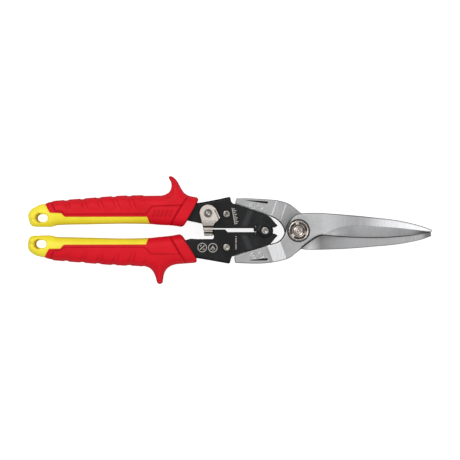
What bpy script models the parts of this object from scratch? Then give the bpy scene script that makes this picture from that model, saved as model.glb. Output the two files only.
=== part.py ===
"""Long-cut aviation snips, modelled as separate pieces in metres, +Z up.

The snips lie flat, as on a bench.  The origin is on the jaws' pivot axis, at the bench surface.
+X runs to the blade tips and +Z up to the side that carries the pivot nut and the latch.
The jaws and the two handles form a compound linkage with four pivots:
jaw pivot, upper arm pin, handle pivot, lower arm pin.
Outlines are written in millimetres; heights are millimetres above or below the shear plane,
the level at which the two blades slide past each other.
"""

import math

import bmesh
import bpy
from mathutils import Matrix, Vector

MM = 0.001

# ---- driving dimensions, in millimetres --------------------------------------------------------

GRIP_HALF = 10.0            # half the thickness of a grip; also the shear plane's height
GAP = 0.3                   # gap left between pieces that touch
PIVOT_FACE = 5.6            # outer face of a jaw at its pivot, from the shear plane
ARM_FACE = 4.6              # outer face of a jaw's arm
TONGUE_FACE = 2.9           # outer face of the arm's tongue, inside the handle
SHEAR_GAP = 0.15            # from the shear plane to each blade's inner face
PLATE_IN = 3.2              # inner face of a handle's side plate
PLATE_OUT = 5.2             # outer face of a handle's side plate
LUG_IN = 1.7                # inner face of the lower handle's pivot lug
TIP_FACE = 3.3              # outer face of a blade at its tip

JAW_PIVOT = (0.0, 0.0)
HANDLE_PIVOT = (-24.8, 0.0)
UPPER_ARM_PIN = (-53.2, 12.35)
LOWER_ARM_PIN = (-53.2, -12.35)
LATCH_PIVOT = (-66.7, 12.8)

BOLT_R = 5.0
THREAD_R = 4.0
NUT_R = 7.6
NUT_RECESS_R = 8.2
NUT_RECESS_FLOOR = 4.2
HANDLE_RIVET_R = 2.1
ARM_PIN_R = 1.9
LATCH_RIVET_R = 1.5
OPEN_PIVOT_CLEARANCE = 0.45  # around the upper arm pin in the rear jaw's tongue
DISC_R = 4.8                # the upper handle's round eye at the handle pivot
LUG_R = 6.2                 # the lower handle's inner lug at the handle pivot
TONGUE_R = 6.2              # round end of each arm's tongue
SPRING_WIRE_R = 0.5
SPRING_COIL_R = 4.6
TURNED_STEPS = 24
BEYOND = 40.0               # how far a cutter runs past the piece that it cuts

SCENE_NAME = "aviation_snips"


# ---- Blender helpers ---------------------------------------------------------------------------

def clear_scene():
    """Remove what is in the scene, so that the model starts empty."""
    for item in list(bpy.data.objects):
        bpy.data.objects.remove(item, do_unlink=True)


def new_collection(name):
    """A collection linked to the scene."""
    collection = bpy.data.collections.new(name)
    bpy.context.scene.collection.children.link(collection)
    return collection


def new_material(name, colour, roughness, metallic):
    """A plain Principled BSDF material."""
    material = bpy.data.materials.new(name)
    material.use_nodes = True
    shader = material.node_tree.nodes["Principled BSDF"]
    shader.inputs["Base Color"].default_value = (*colour, 1.0)
    shader.inputs["Roughness"].default_value = roughness
    shader.inputs["Metallic"].default_value = metallic
    return material


def height(level):
    """World height in metres of a level measured in millimetres from the shear plane."""
    return (GRIP_HALF + level) * MM


def link(mesh, name, matrix=None, cutter=False):
    """Make an object of the mesh, as a piece of the snips or as a cutter."""
    item = bpy.data.objects.new(name, mesh)
    if matrix is not None:
        item.matrix_world = matrix
    if cutter:
        item.hide_render = True
        item.display_type = "WIRE"
        CUTTERS.objects.link(item)
    else:
        PARTS.objects.link(item)
    return item


def filled_curve(name, loops, half_thickness):
    """A flat outline with holes, filled and extruded, as a welded mesh."""
    curve = bpy.data.curves.new(name + "_outline", "CURVE")
    curve.dimensions = "2D"
    curve.fill_mode = "BOTH"
    curve.extrude = half_thickness * MM
    for loop in loops:
        spline = curve.splines.new("POLY")
        spline.points.add(len(loop) - 1)
        for point, (x, y) in zip(spline.points, loop):
            point.co = (x * MM, y * MM, 0.0, 1.0)
        spline.use_cyclic_u = True
    item = bpy.data.objects.new(name + "_outline", curve)
    bpy.context.scene.collection.objects.link(item)
    evaluated = item.evaluated_get(bpy.context.evaluated_depsgraph_get())
    mesh = bpy.data.meshes.new_from_object(evaluated)
    bpy.data.objects.remove(item, do_unlink=True)
    bpy.data.curves.remove(curve)
    welded = bmesh.new()
    welded.from_mesh(mesh)
    bmesh.ops.remove_doubles(welded, verts=welded.verts, dist=0.00001)
    bmesh.ops.recalc_face_normals(welded, faces=welded.faces)
    welded.to_mesh(mesh)
    welded.free()
    mesh.name = name
    return mesh


def slab(name, outline, low, high, holes=(), cutter=False):
    """A flat piece between two levels, with round or shaped holes through it."""
    mesh = filled_curve(name, [outline, *holes], (high - low) / 2)
    matrix = Matrix.Translation((0.0, 0.0, height((low + high) / 2)))
    return link(mesh, name, matrix, cutter)


def prism(name, origin, angle, section, reach=(-90.0, 90.0)):
    """A cutter with the given section, whose first axis points along the angle in plan."""
    mesh = filled_curve(name, [section], (reach[1] - reach[0]) / 2)
    along = Vector((math.cos(angle), math.sin(angle), 0.0))
    across = along.cross(Vector((0.0, 0.0, 1.0)))
    middle = Vector((*origin, 0.0)) + across * (reach[0] + reach[1]) / 2
    matrix = Matrix((along, (0.0, 0.0, 1.0), across)).transposed().to_4x4()
    matrix.translation = (middle.x * MM, middle.y * MM, GRIP_HALF * MM)
    return link(mesh, name, matrix, cutter=True)


def turned(name, profile, centre, closed=False, cutter=False, steps=TURNED_STEPS):
    """A turned piece: a profile of radius and level, taken round by a Screw modifier."""
    mesh = bpy.data.meshes.new(name)
    points = [(radius * MM, 0.0, height(level)) for radius, level in profile]
    edges = [(i, i + 1) for i in range(len(points) - 1)]
    if closed:
        edges.append((len(points) - 1, 0))
    mesh.from_pydata(points, edges, [])
    item = link(mesh, name, Matrix.Translation((centre[0] * MM, centre[1] * MM, 0.0)), cutter)
    screw = item.modifiers.new("Turn", "SCREW")
    screw.steps = steps
    screw.render_steps = steps
    screw.use_merge_vertices = True
    screw.merge_threshold = 0.00001
    return item


def boolean(target, tool, operation="DIFFERENCE"):
    """Cut or join two pieces; a piece used as a tool moves to the cutters."""
    modifier = target.modifiers.new(tool.name, "BOOLEAN")
    modifier.operation = operation
    modifier.object = tool
    modifier.solver = "EXACT"


def paint(item, material):
    """Give the piece its material."""
    item.data.materials.clear()
    item.data.materials.append(material)


def smooth(item, angle=40.0):
    """Shade a round piece smooth, with its corners kept sharp."""
    item.data.shade_smooth()
    item.data.set_sharp_from_angle(angle=math.radians(angle))


# ---- outline helpers ---------------------------------------------------------------------------

def arc(centre, radius, start, end, steps):
    """Points on an arc, from the start angle to the end angle in degrees, both included."""
    turn = (end - start) / steps
    angles = [math.radians(start + turn * i) for i in range(steps + 1)]
    return [(centre[0] + radius * math.cos(a), centre[1] + radius * math.sin(a)) for a in angles]


def circle(centre, radius, steps=20):
    """A closed round outline."""
    return arc(centre, radius, 0.0, 360.0, steps)[:-1]


def through(points, steps=2):
    """A smooth curve through the points, as short straight runs."""
    first = [2 * a - b for a, b in zip(points[0], points[1])]
    last = [2 * a - b for a, b in zip(points[-1], points[-2])]
    path = [first, *points, last]
    curve = []
    for p0, p1, p2, p3 in zip(path, path[1:], path[2:], path[3:]):
        for i in range(steps):
            t = i / steps
            curve.append(tuple(
                b + t * ((c - a) / 2 + t * (a - 2.5 * b + 2 * c - d / 2 + t * (1.5 * (b - c) + (d - a) / 2)))
                for a, b, c, d in zip(p0, p1, p2, p3)))
    curve.append(tuple(points[-1]))
    return curve


def mirrored(outline):
    """The outline turned over about the X axis."""
    return [(x, -y) for x, y in outline]


def grown(outline, distance):
    """The outline moved outwards by the distance, corner by corner."""
    area = sum(a[0] * b[1] - b[0] * a[1] for a, b in zip(outline, outline[1:] + outline[:1]))
    side = distance if area > 0 else -distance
    moved = []
    for before, corner, after in zip(outline[-1:] + outline[:-1], outline, outline[1:] + outline[:1]):
        into = (Vector(corner) - Vector(before)).normalized()
        out = (Vector(after) - Vector(corner)).normalized()
        normal = Vector((into.y + out.y, -into.x - out.x)).normalized()
        stretch = max(normal.dot(Vector((into.y, -into.x))), 0.5)
        moved.append(tuple(Vector(corner) + normal * side / stretch))
    return moved


# ---- jaws --------------------------------------------------------------------------------------

RAMP_ORIGIN = (-11.3, 14.9)       # where the rear jaw's ramp meets its pivot boss
RAMP_ANGLE = math.radians(160.0)  # the way the ramp runs, towards the arm
RAMP_RUN = 8.5
BEVEL_START = 18.0                # where the ground bevel of a blade starts
BEVEL_TOP = 3.6                   # the ground bevel, measured across the blade
BEVEL_FOOT = -5.0
EDGE_FACE = 1.2                   # thickness left at the cutting edge


def front_jaw_outline():
    """Lower arm, pivot boss and upper blade, on the nut's side of the shear plane."""
    recess = [(-46.9, -19.0), (-35.4, -15.0), (-24.2, -11.8)]
    crescent = through([(-20.6, -10.0), (-15.5, -8.4), (-12.4, -5.8), (-10.7, -3.0), (-9.7, 0.0)])
    boss = through([(-9.7, 0.0), (-8.6, 3.8), (-5.1, 8.9), (-0.9, 12.0), (4.4, 12.9)])
    back = through([(15.0, 13.0), (35.0, 11.7), (54.9, 9.8), (74.9, 7.3), (91.4, 3.3), (99.3, 0.5)])
    edge = through([(98.4, -1.3), (84.5, -3.6), (64.9, -5.3), (44.9, -5.3), (29.4, -4.4), (14.0, -3.8)])
    heel = through([(14.0, -3.8), (7.9, -8.4), (-0.5, -15.2), (-6.3, -20.0), (-13.9, -22.5),
                    (-24.0, -24.1)])
    arm = [(-33.0, -24.4), (-46.7, -23.9), (-47.4, -20.4)]
    return [*recess, *crescent, *boss[1:], *back, *edge, *heel[1:], *arm]


def rear_jaw_outline():
    """Upper arm, pivot boss and lower blade, on the bolt head's side of the shear plane."""
    recess = [(-46.5, 20.1), (-35.3, 16.3), (-25.0, 12.9)]
    crescent = through([(-20.4, 10.5), (-16.0, 8.3), (-12.6, 4.9), (-10.7, 1.5), (-9.9, -2.0)])
    boss = through([(-9.9, -2.0), (-7.4, -6.6), (-3.2, -11.0), (2.6, -13.7), (9.0, -14.2)])
    back = through([(15.0, -14.2), (35.0, -13.5), (54.9, -12.0), (74.9, -10.0), (91.4, -6.7),
                    (98.7, -4.2)])
    edge = through([(98.6, -1.0), (84.5, 0.9), (64.9, 3.0), (44.9, 3.6), (29.4, 3.5), (14.0, 3.4)])
    heel = through([(14.0, 3.4), (7.9, 8.0), (0.2, 14.2), (-6.3, 19.6), (-13.9, 22.1), (-24.3, 23.2)])
    arm = [(-39.8, 23.9), (-45.8, 23.8), (-46.7, 20.5)]
    return [*recess, *crescent, *boss[1:], *back, *edge, *heel[1:], *arm]


def tongue_outline(pin):
    """The thin end of the upper arm, which reaches into the handle as far as the arm pin."""
    eye = arc(pin, TONGUE_R, 75.0, 260.0, 9)
    inner = [(-44.0, 8.6), (-33.0, 10.6), (-22.0, 10.8)]
    under_arm = [(-21.0, 14.0), (-35.0, 18.2), (-45.5, 21.2), (-46.4, 20.2), (-48.2, 18.9)]
    return [*eye, *inner, *under_arm]


def jaw(name, outline, pin, hole_r, side, material):
    """One forged jaw; side is 1 for the jaw whose blade is above the shear plane, else -1."""
    piece = slab(name, outline, -PIVOT_FACE, PIVOT_FACE, [circle(JAW_PIVOT, BOLT_R + GAP, 28)])

    def cut(label, origin, angle, section, **reach):
        flipped = [(u, side * level) for u, level in section]
        boolean(piece, prism(f"{name}_{label}", origin, angle, flipped, **reach))

    arm_side = -side
    origin = (RAMP_ORIGIN[0], arm_side * RAMP_ORIGIN[1])
    angle = arm_side * RAMP_ANGLE
    far = PIVOT_FACE + 3.0
    cut("shear_face", origin, angle,
        [(-150.0, SHEAR_GAP), (0.0, SHEAR_GAP), (RAMP_RUN, -ARM_FACE), (60.0, -ARM_FACE), (60.0, -far),
         (-150.0, -far)])
    cut("arm_step", origin, angle,
        [(0.0, PIVOT_FACE), (RAMP_RUN, ARM_FACE), (60.0, ARM_FACE), (60.0, far), (0.0, far)])
    cut("taper", (20.0, 0.0), 0.0,
        [(0.0, PIVOT_FACE), (79.5, TIP_FACE), (90.0, TIP_FACE), (90.0, far), (0.0, far)])
    cut("bevel", (0.0, 0.0), -side * math.pi / 2,
        [(-BEVEL_TOP, PIVOT_FACE + 0.2), (-BEVEL_FOOT, EDGE_FACE), (12.0, EDGE_FACE), (12.0, far),
         (-BEVEL_TOP, far)],
        reach=bevel_reach(side))
    tongue = slab(name + "_tongue", tongue_of(pin), -TONGUE_FACE, TONGUE_FACE,
                  [circle(pin, hole_r, 20)], cutter=True)
    boolean(piece, tongue, "UNION")
    paint(piece, material)
    return piece


def bevel_reach(side):
    """The stretch of the blade that is ground, measured across the bevel's direction."""
    stretch = (BEVEL_START, 120.0)
    return (-stretch[1], -stretch[0]) if side > 0 else stretch


def tongue_of(pin):
    """The tongue's outline on the side of the pin."""
    if pin[1] > 0:
        return tongue_outline(pin)
    return mirrored(tongue_outline((pin[0], -pin[1])))


def nut_recess():
    """The round seat that is sunk in the front jaw for the washer and the nut."""
    top = PIVOT_FACE + 2.0
    return turned("nut_recess", [(0.0, top), (NUT_RECESS_R, top), (NUT_RECESS_R, NUT_RECESS_FLOOR),
                                 (0.0, NUT_RECESS_FLOOR)], JAW_PIVOT, cutter=True, steps=32)


# ---- jaw pivot ---------------------------------------------------------------------------------

HEAD_R = 7.5
HEAD_TOP = -6.8
WASHER_R = 7.4


def pivot_bolt(material):
    """Shoulder bolt: flat head under the rear jaw, shank through both jaws, threaded end in the nut."""
    foot = -GRIP_HALF
    shoulder = NUT_RECESS_FLOOR - 0.2
    profile = [(0.0, 7.2), (THREAD_R - 0.5, 7.2), (THREAD_R, 6.8), (THREAD_R, shoulder),
               (BOLT_R, shoulder), (BOLT_R, HEAD_TOP), (HEAD_R - 0.5, HEAD_TOP), (HEAD_R, HEAD_TOP - 0.5),
               (HEAD_R, foot + 0.8), (HEAD_R - 0.8, foot), (0.0, foot)]
    bolt = turned("pivot_bolt", profile, JAW_PIVOT)
    smooth(bolt)
    paint(bolt, material)
    return bolt


def pivot_nut(material):
    """Round nut with three curved wrench recesses in its face."""
    low = NUT_RECESS_FLOOR + 2 * GAP + 0.5
    high = low + 2.3
    bore = THREAD_R + GAP
    profile = [(bore, high), (NUT_R - 0.7, high), (NUT_R, high - 0.7), (NUT_R, low), (bore, low)]
    nut = turned("pivot_nut", profile, JAW_PIVOT, closed=True)
    for number, start in enumerate((-6.0, 114.0, 234.0)):
        outer = arc(JAW_PIVOT, 6.3, start, start + 92.0, 8)
        inner = arc(JAW_PIVOT, 4.8, start + 92.0, start, 8)
        boolean(nut, slab(f"wrench_recess_{number}", outer + inner, high - 1.1, high + 1.0, cutter=True))
    smooth(nut)
    paint(nut, material)
    return nut


def washer(name, inner, outer, low, high, centre, material, steps=TURNED_STEPS):
    """A flat ring."""
    profile = [(inner, high), (outer, high), (outer, low), (inner, low)]
    ring = turned(name, profile, centre, closed=True, steps=steps)
    smooth(ring)
    paint(ring, material)
    return ring


# ---- handle frames -----------------------------------------------------------------------------

TANG_END = -172.0
TANG = (10.5, 17.5)               # the tang's two edges at its end, from the X axis
STOP_EDGE = 2.25                  # the noses' inner edges; they meet when the snips are wide open
CATCH = ((-63.3, -3.4), (-63.3, -2.5))
WEB = 2.1                         # thickness of the channel's outer wall
SPRING_HOLES = ((-31.4, 3.1), (-31.6, -2.7))
SPRING_HOLE_R = 0.9


def hump(side):
    """Outer edge of a handle frame, from the grip over the hump to the nose."""
    top = [(-92.0, 18.6), (-75.2, 20.4), (-66.6, 21.8), (-51.0, 25.0 if side > 0 else 24.5)]
    if side > 0:
        notch = [(-50.2, 24.6), (-49.7, 21.6), (-48.6, 19.9)]
        edge = [(-46.6, 19.7), (-41.2, 17.8), (-30.0, 14.0), (-24.9, 12.2)]
    else:
        notch = [(-50.4, 23.6), (-49.6, 20.4), (-48.6, 19.0)]
        edge = [(-46.6, 18.2), (-42.1, 16.6), (-30.0, 13.2), (-24.2, 11.3)]
    nose = through([(-20.6, 9.8), (-18.6, 7.4), (-16.9, 5.3), (-15.5, 3.8), (-16.7, 2.7),
                    (-17.9, STOP_EDGE)])
    return [*top, *notch, *edge, *nose]


def upper_frame_outline():
    """Side plate of the upper handle; it carries the round eye at the handle pivot."""
    level = STOP_EDGE
    reach = math.degrees(math.asin(level / DISC_R))
    eye = arc(HANDLE_PIVOT, DISC_R, reach, -171.0, 12)
    inner = [(-32.4, -0.75), (-33.0, -0.2), (-33.0, 1.8), (-33.4, 2.2), (-61.6, 2.2), (-63.2, 4.6),
             (-71.3, 5.1), (-80.0, 6.9), (-92.0, 9.6), (TANG_END, TANG[0])]
    return [(TANG_END, TANG[1]), *hump(1), *eye, *inner]


def lower_frame_outline():
    """Side plate of the lower handle, hollowed round the upper handle's eye."""
    around = DISC_R + 0.35
    start = -math.degrees(math.asin(STOP_EDGE / around))
    end = -180.0 + math.degrees(math.asin(1.1 / around))
    hollow = arc(HANDLE_PIVOT, around, start, end, 10)
    catch = [(-62.5, 0.6), (-62.5, -2.5), CATCH[1], CATCH[0], (-62.5, -3.4), (-62.6, -5.2),
             (-63.6, -6.3)]
    inner = [(-52.3, -1.1), (-54.3, 0.7), *catch, (-75.0, -6.3), (-80.0, -6.0), (-92.0, -9.6),
             (TANG_END, -TANG[0])]
    return [(TANG_END, -TANG[1]), *mirrored(hump(-1)), *hollow, *inner]


def channel_hollow(name, side):
    """The space between a frame's side plates, which leaves only the outer wall."""
    outer = [(TANG_END - 3.0, TANG[1] - WEB), (-92.0, 18.6 - WEB), (-75.2, 20.4 - WEB), (-66.6, 21.8 - WEB),
             (-51.3, 24.7 - WEB), (-49.8, BEYOND), (-10.0, BEYOND), (-10.0, -12.0),
             (TANG_END - 3.0, -12.0)]
    outline = outer if side > 0 else mirrored(outer)
    return slab(name, outline, -PLATE_IN, PLATE_IN, cutter=True)


def upper_handle_frame(material):
    """Folded steel channel of the upper handle."""
    holes = [circle(HANDLE_PIVOT, HANDLE_RIVET_R + GAP), circle(UPPER_ARM_PIN, ARM_PIN_R + GAP),
             circle(LATCH_PIVOT, LATCH_RIVET_R + GAP, 16), circle(SPRING_HOLES[0], SPRING_HOLE_R, 10)]
    frame = slab("upper_handle_frame", upper_frame_outline(), -PLATE_OUT, PLATE_OUT, holes)
    boolean(frame, channel_hollow("upper_channel", 1))
    paint(frame, material)
    return frame


def lower_handle_frame(material):
    """Folded steel channel of the lower handle, with the lugs that the upper handle's eyes straddle."""
    holes = [circle(LOWER_ARM_PIN, ARM_PIN_R + GAP), circle(SPRING_HOLES[1], SPRING_HOLE_R, 10)]
    frame = slab("lower_handle_frame", lower_frame_outline(), -PLATE_OUT, PLATE_OUT, holes)
    boolean(frame, channel_hollow("lower_channel", -1))
    x, y = HANDLE_PIVOT
    foot = [(x - LUG_R, -9.1), (x + LUG_R - 2.6, -9.1), (x + LUG_R - 0.6, -6.6)]
    lug = [*arc((x, y), LUG_R, 0.0, 180.0, 14), *foot]
    riser = [(x - LUG_R, -5.7), *foot, (x + LUG_R - 0.6, -5.7)]
    bore = [circle(HANDLE_PIVOT, HANDLE_RIVET_R + GAP)]
    for label, sign in (("top", 1), ("bottom", -1)):
        levels = sorted((sign * LUG_IN, sign * TONGUE_FACE))
        riser_levels = sorted((sign * (LUG_IN + 0.4), sign * (PLATE_IN + 0.5)))
        boolean(frame, slab(f"lug_riser_{label}", riser, *riser_levels, cutter=True), "UNION")
        boolean(frame, slab(f"lug_{label}", lug, *levels, bore, cutter=True), "UNION")
    paint(frame, material)
    return frame


# ---- pins, rivets, bush and spring -------------------------------------------------------------

def double_headed(name, centre, shank_r, top_head, bottom_head, material):
    """A rivet; each head is its radius, its inner level and its outer level."""
    top_r, top_in, top_out = top_head
    low_r, low_in, low_out = bottom_head
    profile = [(0.0, top_out), (top_r - 0.8, top_out), (top_r, top_out - 0.6), (top_r, top_in),
               (shank_r, top_in), (shank_r, low_in), (low_r, low_in), (low_r, low_out + 0.6),
               (low_r - 0.8, low_out), (0.0, low_out)]
    rivet = turned(name, profile, centre)
    smooth(rivet)
    paint(rivet, material)
    return rivet


def plate_rivet(name, centre, shank_r, head_r, head_height, material):
    """A rivet with equal heads on the outer faces of both side plates."""
    inner = PLATE_OUT + GAP
    outer = inner + head_height
    return double_headed(name, centre, shank_r, (head_r, inner, outer), (head_r, -inner, -outer),
                         material)


def handle_spring(material):
    """Torsion spring round the handle pivot; its two legs push the handles apart."""
    x, y = HANDLE_PIVOT
    rise = 0.9
    start, end = 246.0, 246.0 + 591.0
    count = 34
    coil = []
    for i in range(count + 1):
        a = math.radians(start + (end - start) * i / count)
        coil.append((x + SPRING_COIL_R * math.cos(a), y + SPRING_COIL_R * math.sin(a),
                     rise * (2 * i / count - 1)))
    upper, lower = SPRING_HOLES
    path = [(*lower, -rise), *coil, (*upper, rise)]
    curve = bpy.data.curves.new("handle_spring_wire", "CURVE")
    curve.dimensions = "3D"
    curve.bevel_depth = SPRING_WIRE_R * MM
    curve.bevel_resolution = 2
    curve.use_fill_caps = True
    spline = curve.splines.new("POLY")
    spline.points.add(len(path) - 1)
    for point, (px, py, level) in zip(spline.points, path):
        point.co = (px * MM, py * MM, height(level), 1.0)
    wire = bpy.data.objects.new("handle_spring", curve)
    PARTS.objects.link(wire)
    curve.materials.append(material)
    return wire


# ---- latch -------------------------------------------------------------------------------------

LATCH_LOW = 6.2
LATCH_HIGH = 7.4
TAIL_HIGH = 8.1
FLANGE_HIGH = 8.9


def latch(material):
    """Thumb latch: a flat eye on the rivet, a ribbed tail over the handle gap, and a hook under it."""
    head = arc(LATCH_PIVOT, 6.5, 182.0, 40.0, 8)
    right = [(-60.8, 15.8), (-57.7, 9.1), (-59.6, 7.3), (-62.3, 4.9), (-63.3, 0.2), (-63.8, -3.9)]
    left = [(-69.5, -3.9), (-70.4, 2.4), (-72.0, 8.0)]
    piece = slab("latch", [*head, *right, *left], LATCH_LOW, LATCH_HIGH,
                 [circle(LATCH_PIVOT, LATCH_RIVET_R + GAP, 16)])
    tail = [(-71.8, 7.2), (-59.7, 7.2), (-62.3, 4.9), (-63.3, 0.2), (-63.8, -3.9), (-69.5, -3.9),
            (-70.4, 2.4)]
    flange = [(-60.8, 15.8), (-57.7, 9.1), (-58.6, 8.7), (-61.8, 15.6)]
    hook = [(-65.6, -3.9), (-63.65, -3.9), (-63.65, -2.9), (-65.6, -2.9)]
    additions = ((tail, LATCH_LOW + 0.5, TAIL_HIGH), (flange, LATCH_LOW + 0.5, FLANGE_HIGH),
                 (hook, PLATE_IN + 0.4, LATCH_HIGH - 0.4))
    for number, (outline, low, high) in enumerate(additions):
        boolean(piece, slab(f"latch_addition_{number}", outline, low, high, cutter=True), "UNION")
    paint(piece, material)
    return piece


# ---- grips -------------------------------------------------------------------------------------

SECTION_POINTS = 16
SPINE_HALF = 7.0                  # half the thickness of the core's spine, which the grip wraps
TANG_HALF = PLATE_OUT + GAP

# Each station along a grip: X, inner edge, outer edge, half thickness.
UPPER_STATIONS = (
    (-200.2, 9.2, 11.8, 3.6), (-199.4, 6.4, 14.4, 5.6), (-197.4, 4.2, 16.4, 7.2), (-194.0, 3.0, 18.2, 8.4),
    (-188.5, 2.8, 20.0, 9.1), (-182.0, 3.1, 21.5, 9.6), (-170.0, 4.4, 22.6, GRIP_HALF),
    (-150.0, 4.7, 24.2, GRIP_HALF), (-130.0, 5.1, 25.5, GRIP_HALF), (-112.0, 4.9, 26.0, GRIP_HALF),
    (-100.0, 4.1, 26.0, GRIP_HALF), (-92.5, 3.6, 26.0, GRIP_HALF), (-87.0, 2.8, 25.8, 9.6),
    (-72.0, 2.8, 24.4, 9.0))
LOWER_STATIONS = (
    (-200.5, 9.4, 12.6, 3.6), (-199.6, 6.8, 15.0, 5.6), (-197.4, 4.7, 17.0, 7.2), (-194.0, 3.7, 18.8, 8.4),
    (-188.5, 3.6, 20.4, 9.1), (-182.0, 3.9, 21.5, 9.6), (-170.0, 4.9, 22.6, GRIP_HALF),
    (-150.0, 5.4, 24.2, GRIP_HALF), (-130.0, 5.8, 25.4, GRIP_HALF), (-112.0, 5.4, 26.0, GRIP_HALF),
    (-100.0, 4.6, 25.9, GRIP_HALF), (-94.0, 3.7, 25.8, GRIP_HALF), (-88.0, 2.7, 25.0, 9.6),
    (-72.0, 2.7, 23.8, 9.0))
UPPER_HORN = (
    [(-104.0, 22.0), (-101.4, 25.9)],
    [(-98.2, 27.0), (-95.2, 29.6), (-94.2, 33.6), (-95.6, 37.6), (-96.2, 39.8), (-94.5, 40.7), (-91.6, 38.9),
     (-88.4, 34.0), (-85.2, 28.8), (-81.1, 25.9)],
    [(-78.0, 22.5)])
LOWER_HORN = (
    [(-117.0, 22.0), (-114.3, 26.0)],
    [(-110.5, 27.6), (-107.2, 31.0), (-105.5, 35.4), (-104.6, 39.0), (-102.4, 39.8), (-100.6, 38.4),
     (-99.8, 33.0), (-97.2, 28.4), (-92.6, 25.8)],
    [(-88.0, 22.0)])
HORN_HALF = 7.2
UPPER_FRONT = ((-83.6, 5.6), (-75.0, 21.0))
LOWER_FRONT = ((-84.6, 5.9), (-76.0, 20.8))
UPPER_HOLE = ((-189.4, 9.3), 7.4, 5.8)
LOWER_HOLE = ((-189.9, 10.0), 8.0, 6.0)


def loft(name, stations, cutter=False):
    """A closed form through rounded sections that follow the stations."""
    form = bmesh.new()
    power = 2.0 / 2.7
    peak = math.sin(math.pi * (0.5 - 1.0 / SECTION_POINTS)) ** power
    rings = []
    for x, inner, outer, half in stations:
        ring = []
        for i in range(SECTION_POINTS):
            a = 2 * math.pi * (i + 0.5) / SECTION_POINTS
            across = math.copysign(abs(math.cos(a)) ** power, math.cos(a)) / peak
            up = math.copysign(abs(math.sin(a)) ** power, math.sin(a)) / peak
            y = (inner + outer) / 2 + across * (outer - inner) / 2
            ring.append(form.verts.new((x * MM, y * MM, height(half * up))))
        rings.append(ring)
    for near, far in zip(rings, rings[1:]):
        for i in range(SECTION_POINTS):
            j = (i + 1) % SECTION_POINTS
            form.faces.new((near[i], near[j], far[j], far[i]))
    form.faces.new(rings[0])
    form.faces.new(rings[-1])
    bmesh.ops.recalc_face_normals(form, faces=form.faces)
    mesh = bpy.data.meshes.new(name)
    form.to_mesh(mesh)
    form.free()
    return link(mesh, name, cutter=cutter)


def sided(outline, side):
    """An outline drawn for the upper handle, on the side asked for."""
    return list(outline) if side > 0 else mirrored(outline)


def placed_loft(name, stations, side):
    """The loft of a grip on its own side of the X axis."""
    rings = [(x, *sorted((side * inner, side * outer)), half) for x, inner, outer, half in stations]
    return loft(name, rings)


def socket_outline(side):
    """The room for the frame's tang inside the grip and its core."""
    tang = [(TANG_END, TANG[0]), (TANG_END, TANG[1]), (-92.0, 18.6), (-70.0, 21.4), (-70.0, 4.4), (-80.0, 5.9),
            (-92.0, 9.6)]
    return sided(grown(tang, GAP), side)


def core_zone(side):
    """The part of the handle that shows the hard core: its butt and the inner flank."""
    zone = [(-215.0, -2.0), (-108.6, -2.0), (-109.7, 4.8), (-111.8, 10.2), (-173.4, 10.0), (-176.0, 13.1),
            (-184.1, 13.3), (-187.4, 20.0), (-191.0, 32.0), (-215.0, 32.0)]
    return sided(zone, side)


def spine_outline(side):
    """The core's spine round the tang, wrapped by the soft grip."""
    spine = [(-178.0, 7.5), (-178.0, 18.4), (-172.0, 19.4), (-100.0, 20.4), (-100.0, 8.0), (-113.5, 7.5)]
    return sided(spine, side)


def front_cutter(name, front, side):
    """Everything in front of the grip's slanted front edge."""
    (x0, y0), (x1, y1) = front
    slope = (x1 - x0) / (y1 - y0)
    outline = [(x0 - slope * (y0 + 5.0), -5.0), (x1 + slope * (45.0 - y1), 45.0), (-40.0, 45.0),
               (-40.0, -5.0)]
    return slab(name, sided(outline, side), -20.0, 20.0, cutter=True)


def grip_core(label, stations, hole, side, material):
    """Hard inner body: butt with the lanyard hole, inner flank, and the spine that holds the tang."""
    core = placed_loft(f"{label}_grip_core", stations, side)
    boolean(core, slab(f"{label}_core_zone", core_zone(side), -20.0, 20.0, cutter=True), "INTERSECT")
    boolean(core, slab(f"{label}_spine", spine_outline(side), -SPINE_HALF, SPINE_HALF, cutter=True),
            "UNION")
    boolean(core, slab(f"{label}_core_socket", socket_outline(side), -TANG_HALF, TANG_HALF,
                       cutter=True))
    (x, y), length, width = hole
    run = (length - width) / 2
    front_end = arc((x + run, side * y), width / 2, -90.0, 90.0, 8)
    rear_end = arc((x - run, side * y), width / 2, 90.0, 270.0, 8)
    boolean(core, slab(f"{label}_lanyard_slot", front_end + rear_end, -20.0, 20.0, cutter=True))
    paint(core, material)
    smooth(core, 35.0)
    return core


def soft_grip(label, stations, horn, front, side, material):
    """Soft outer grip with its thumb horn, moulded round the core's spine."""
    grip = placed_loft(f"{label}_grip", stations, side)
    start, curve, end = horn
    outline = sided([*start, *through(curve), *end], side)
    boolean(grip, slab(f"{label}_horn", outline, -HORN_HALF, HORN_HALF, cutter=True), "UNION")
    boolean(grip, slab(f"{label}_core_space", grown(core_zone(side), GAP), -20.0, 20.0, cutter=True))
    boolean(grip, slab(f"{label}_spine_space", grown(spine_outline(side), GAP),
                       -SPINE_HALF - GAP, SPINE_HALF + GAP, cutter=True))
    boolean(grip, slab(f"{label}_grip_socket", socket_outline(side), -TANG_HALF, TANG_HALF,
                       cutter=True))
    boolean(grip, front_cutter(f"{label}_front", front, side))
    paint(grip, material)
    smooth(grip, 35.0)
    return grip


# ---- assembly ----------------------------------------------------------------------------------

def pivot_empty(name, centre, pieces, parent=None):
    """An empty on a joint's axis that carries the pieces that turn about it."""
    empty = bpy.data.objects.new(name, None)
    empty.empty_display_size = 0.01
    PARTS.objects.link(empty)
    empty.location = (centre[0] * MM, centre[1] * MM, 0.0)
    bpy.context.view_layer.update()
    for child in pieces:
        child.parent = empty
        child.matrix_parent_inverse = empty.matrix_world.inverted()
    if parent is not None:
        empty.parent = parent
        empty.matrix_parent_inverse = parent.matrix_world.inverted()
    return empty


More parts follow.
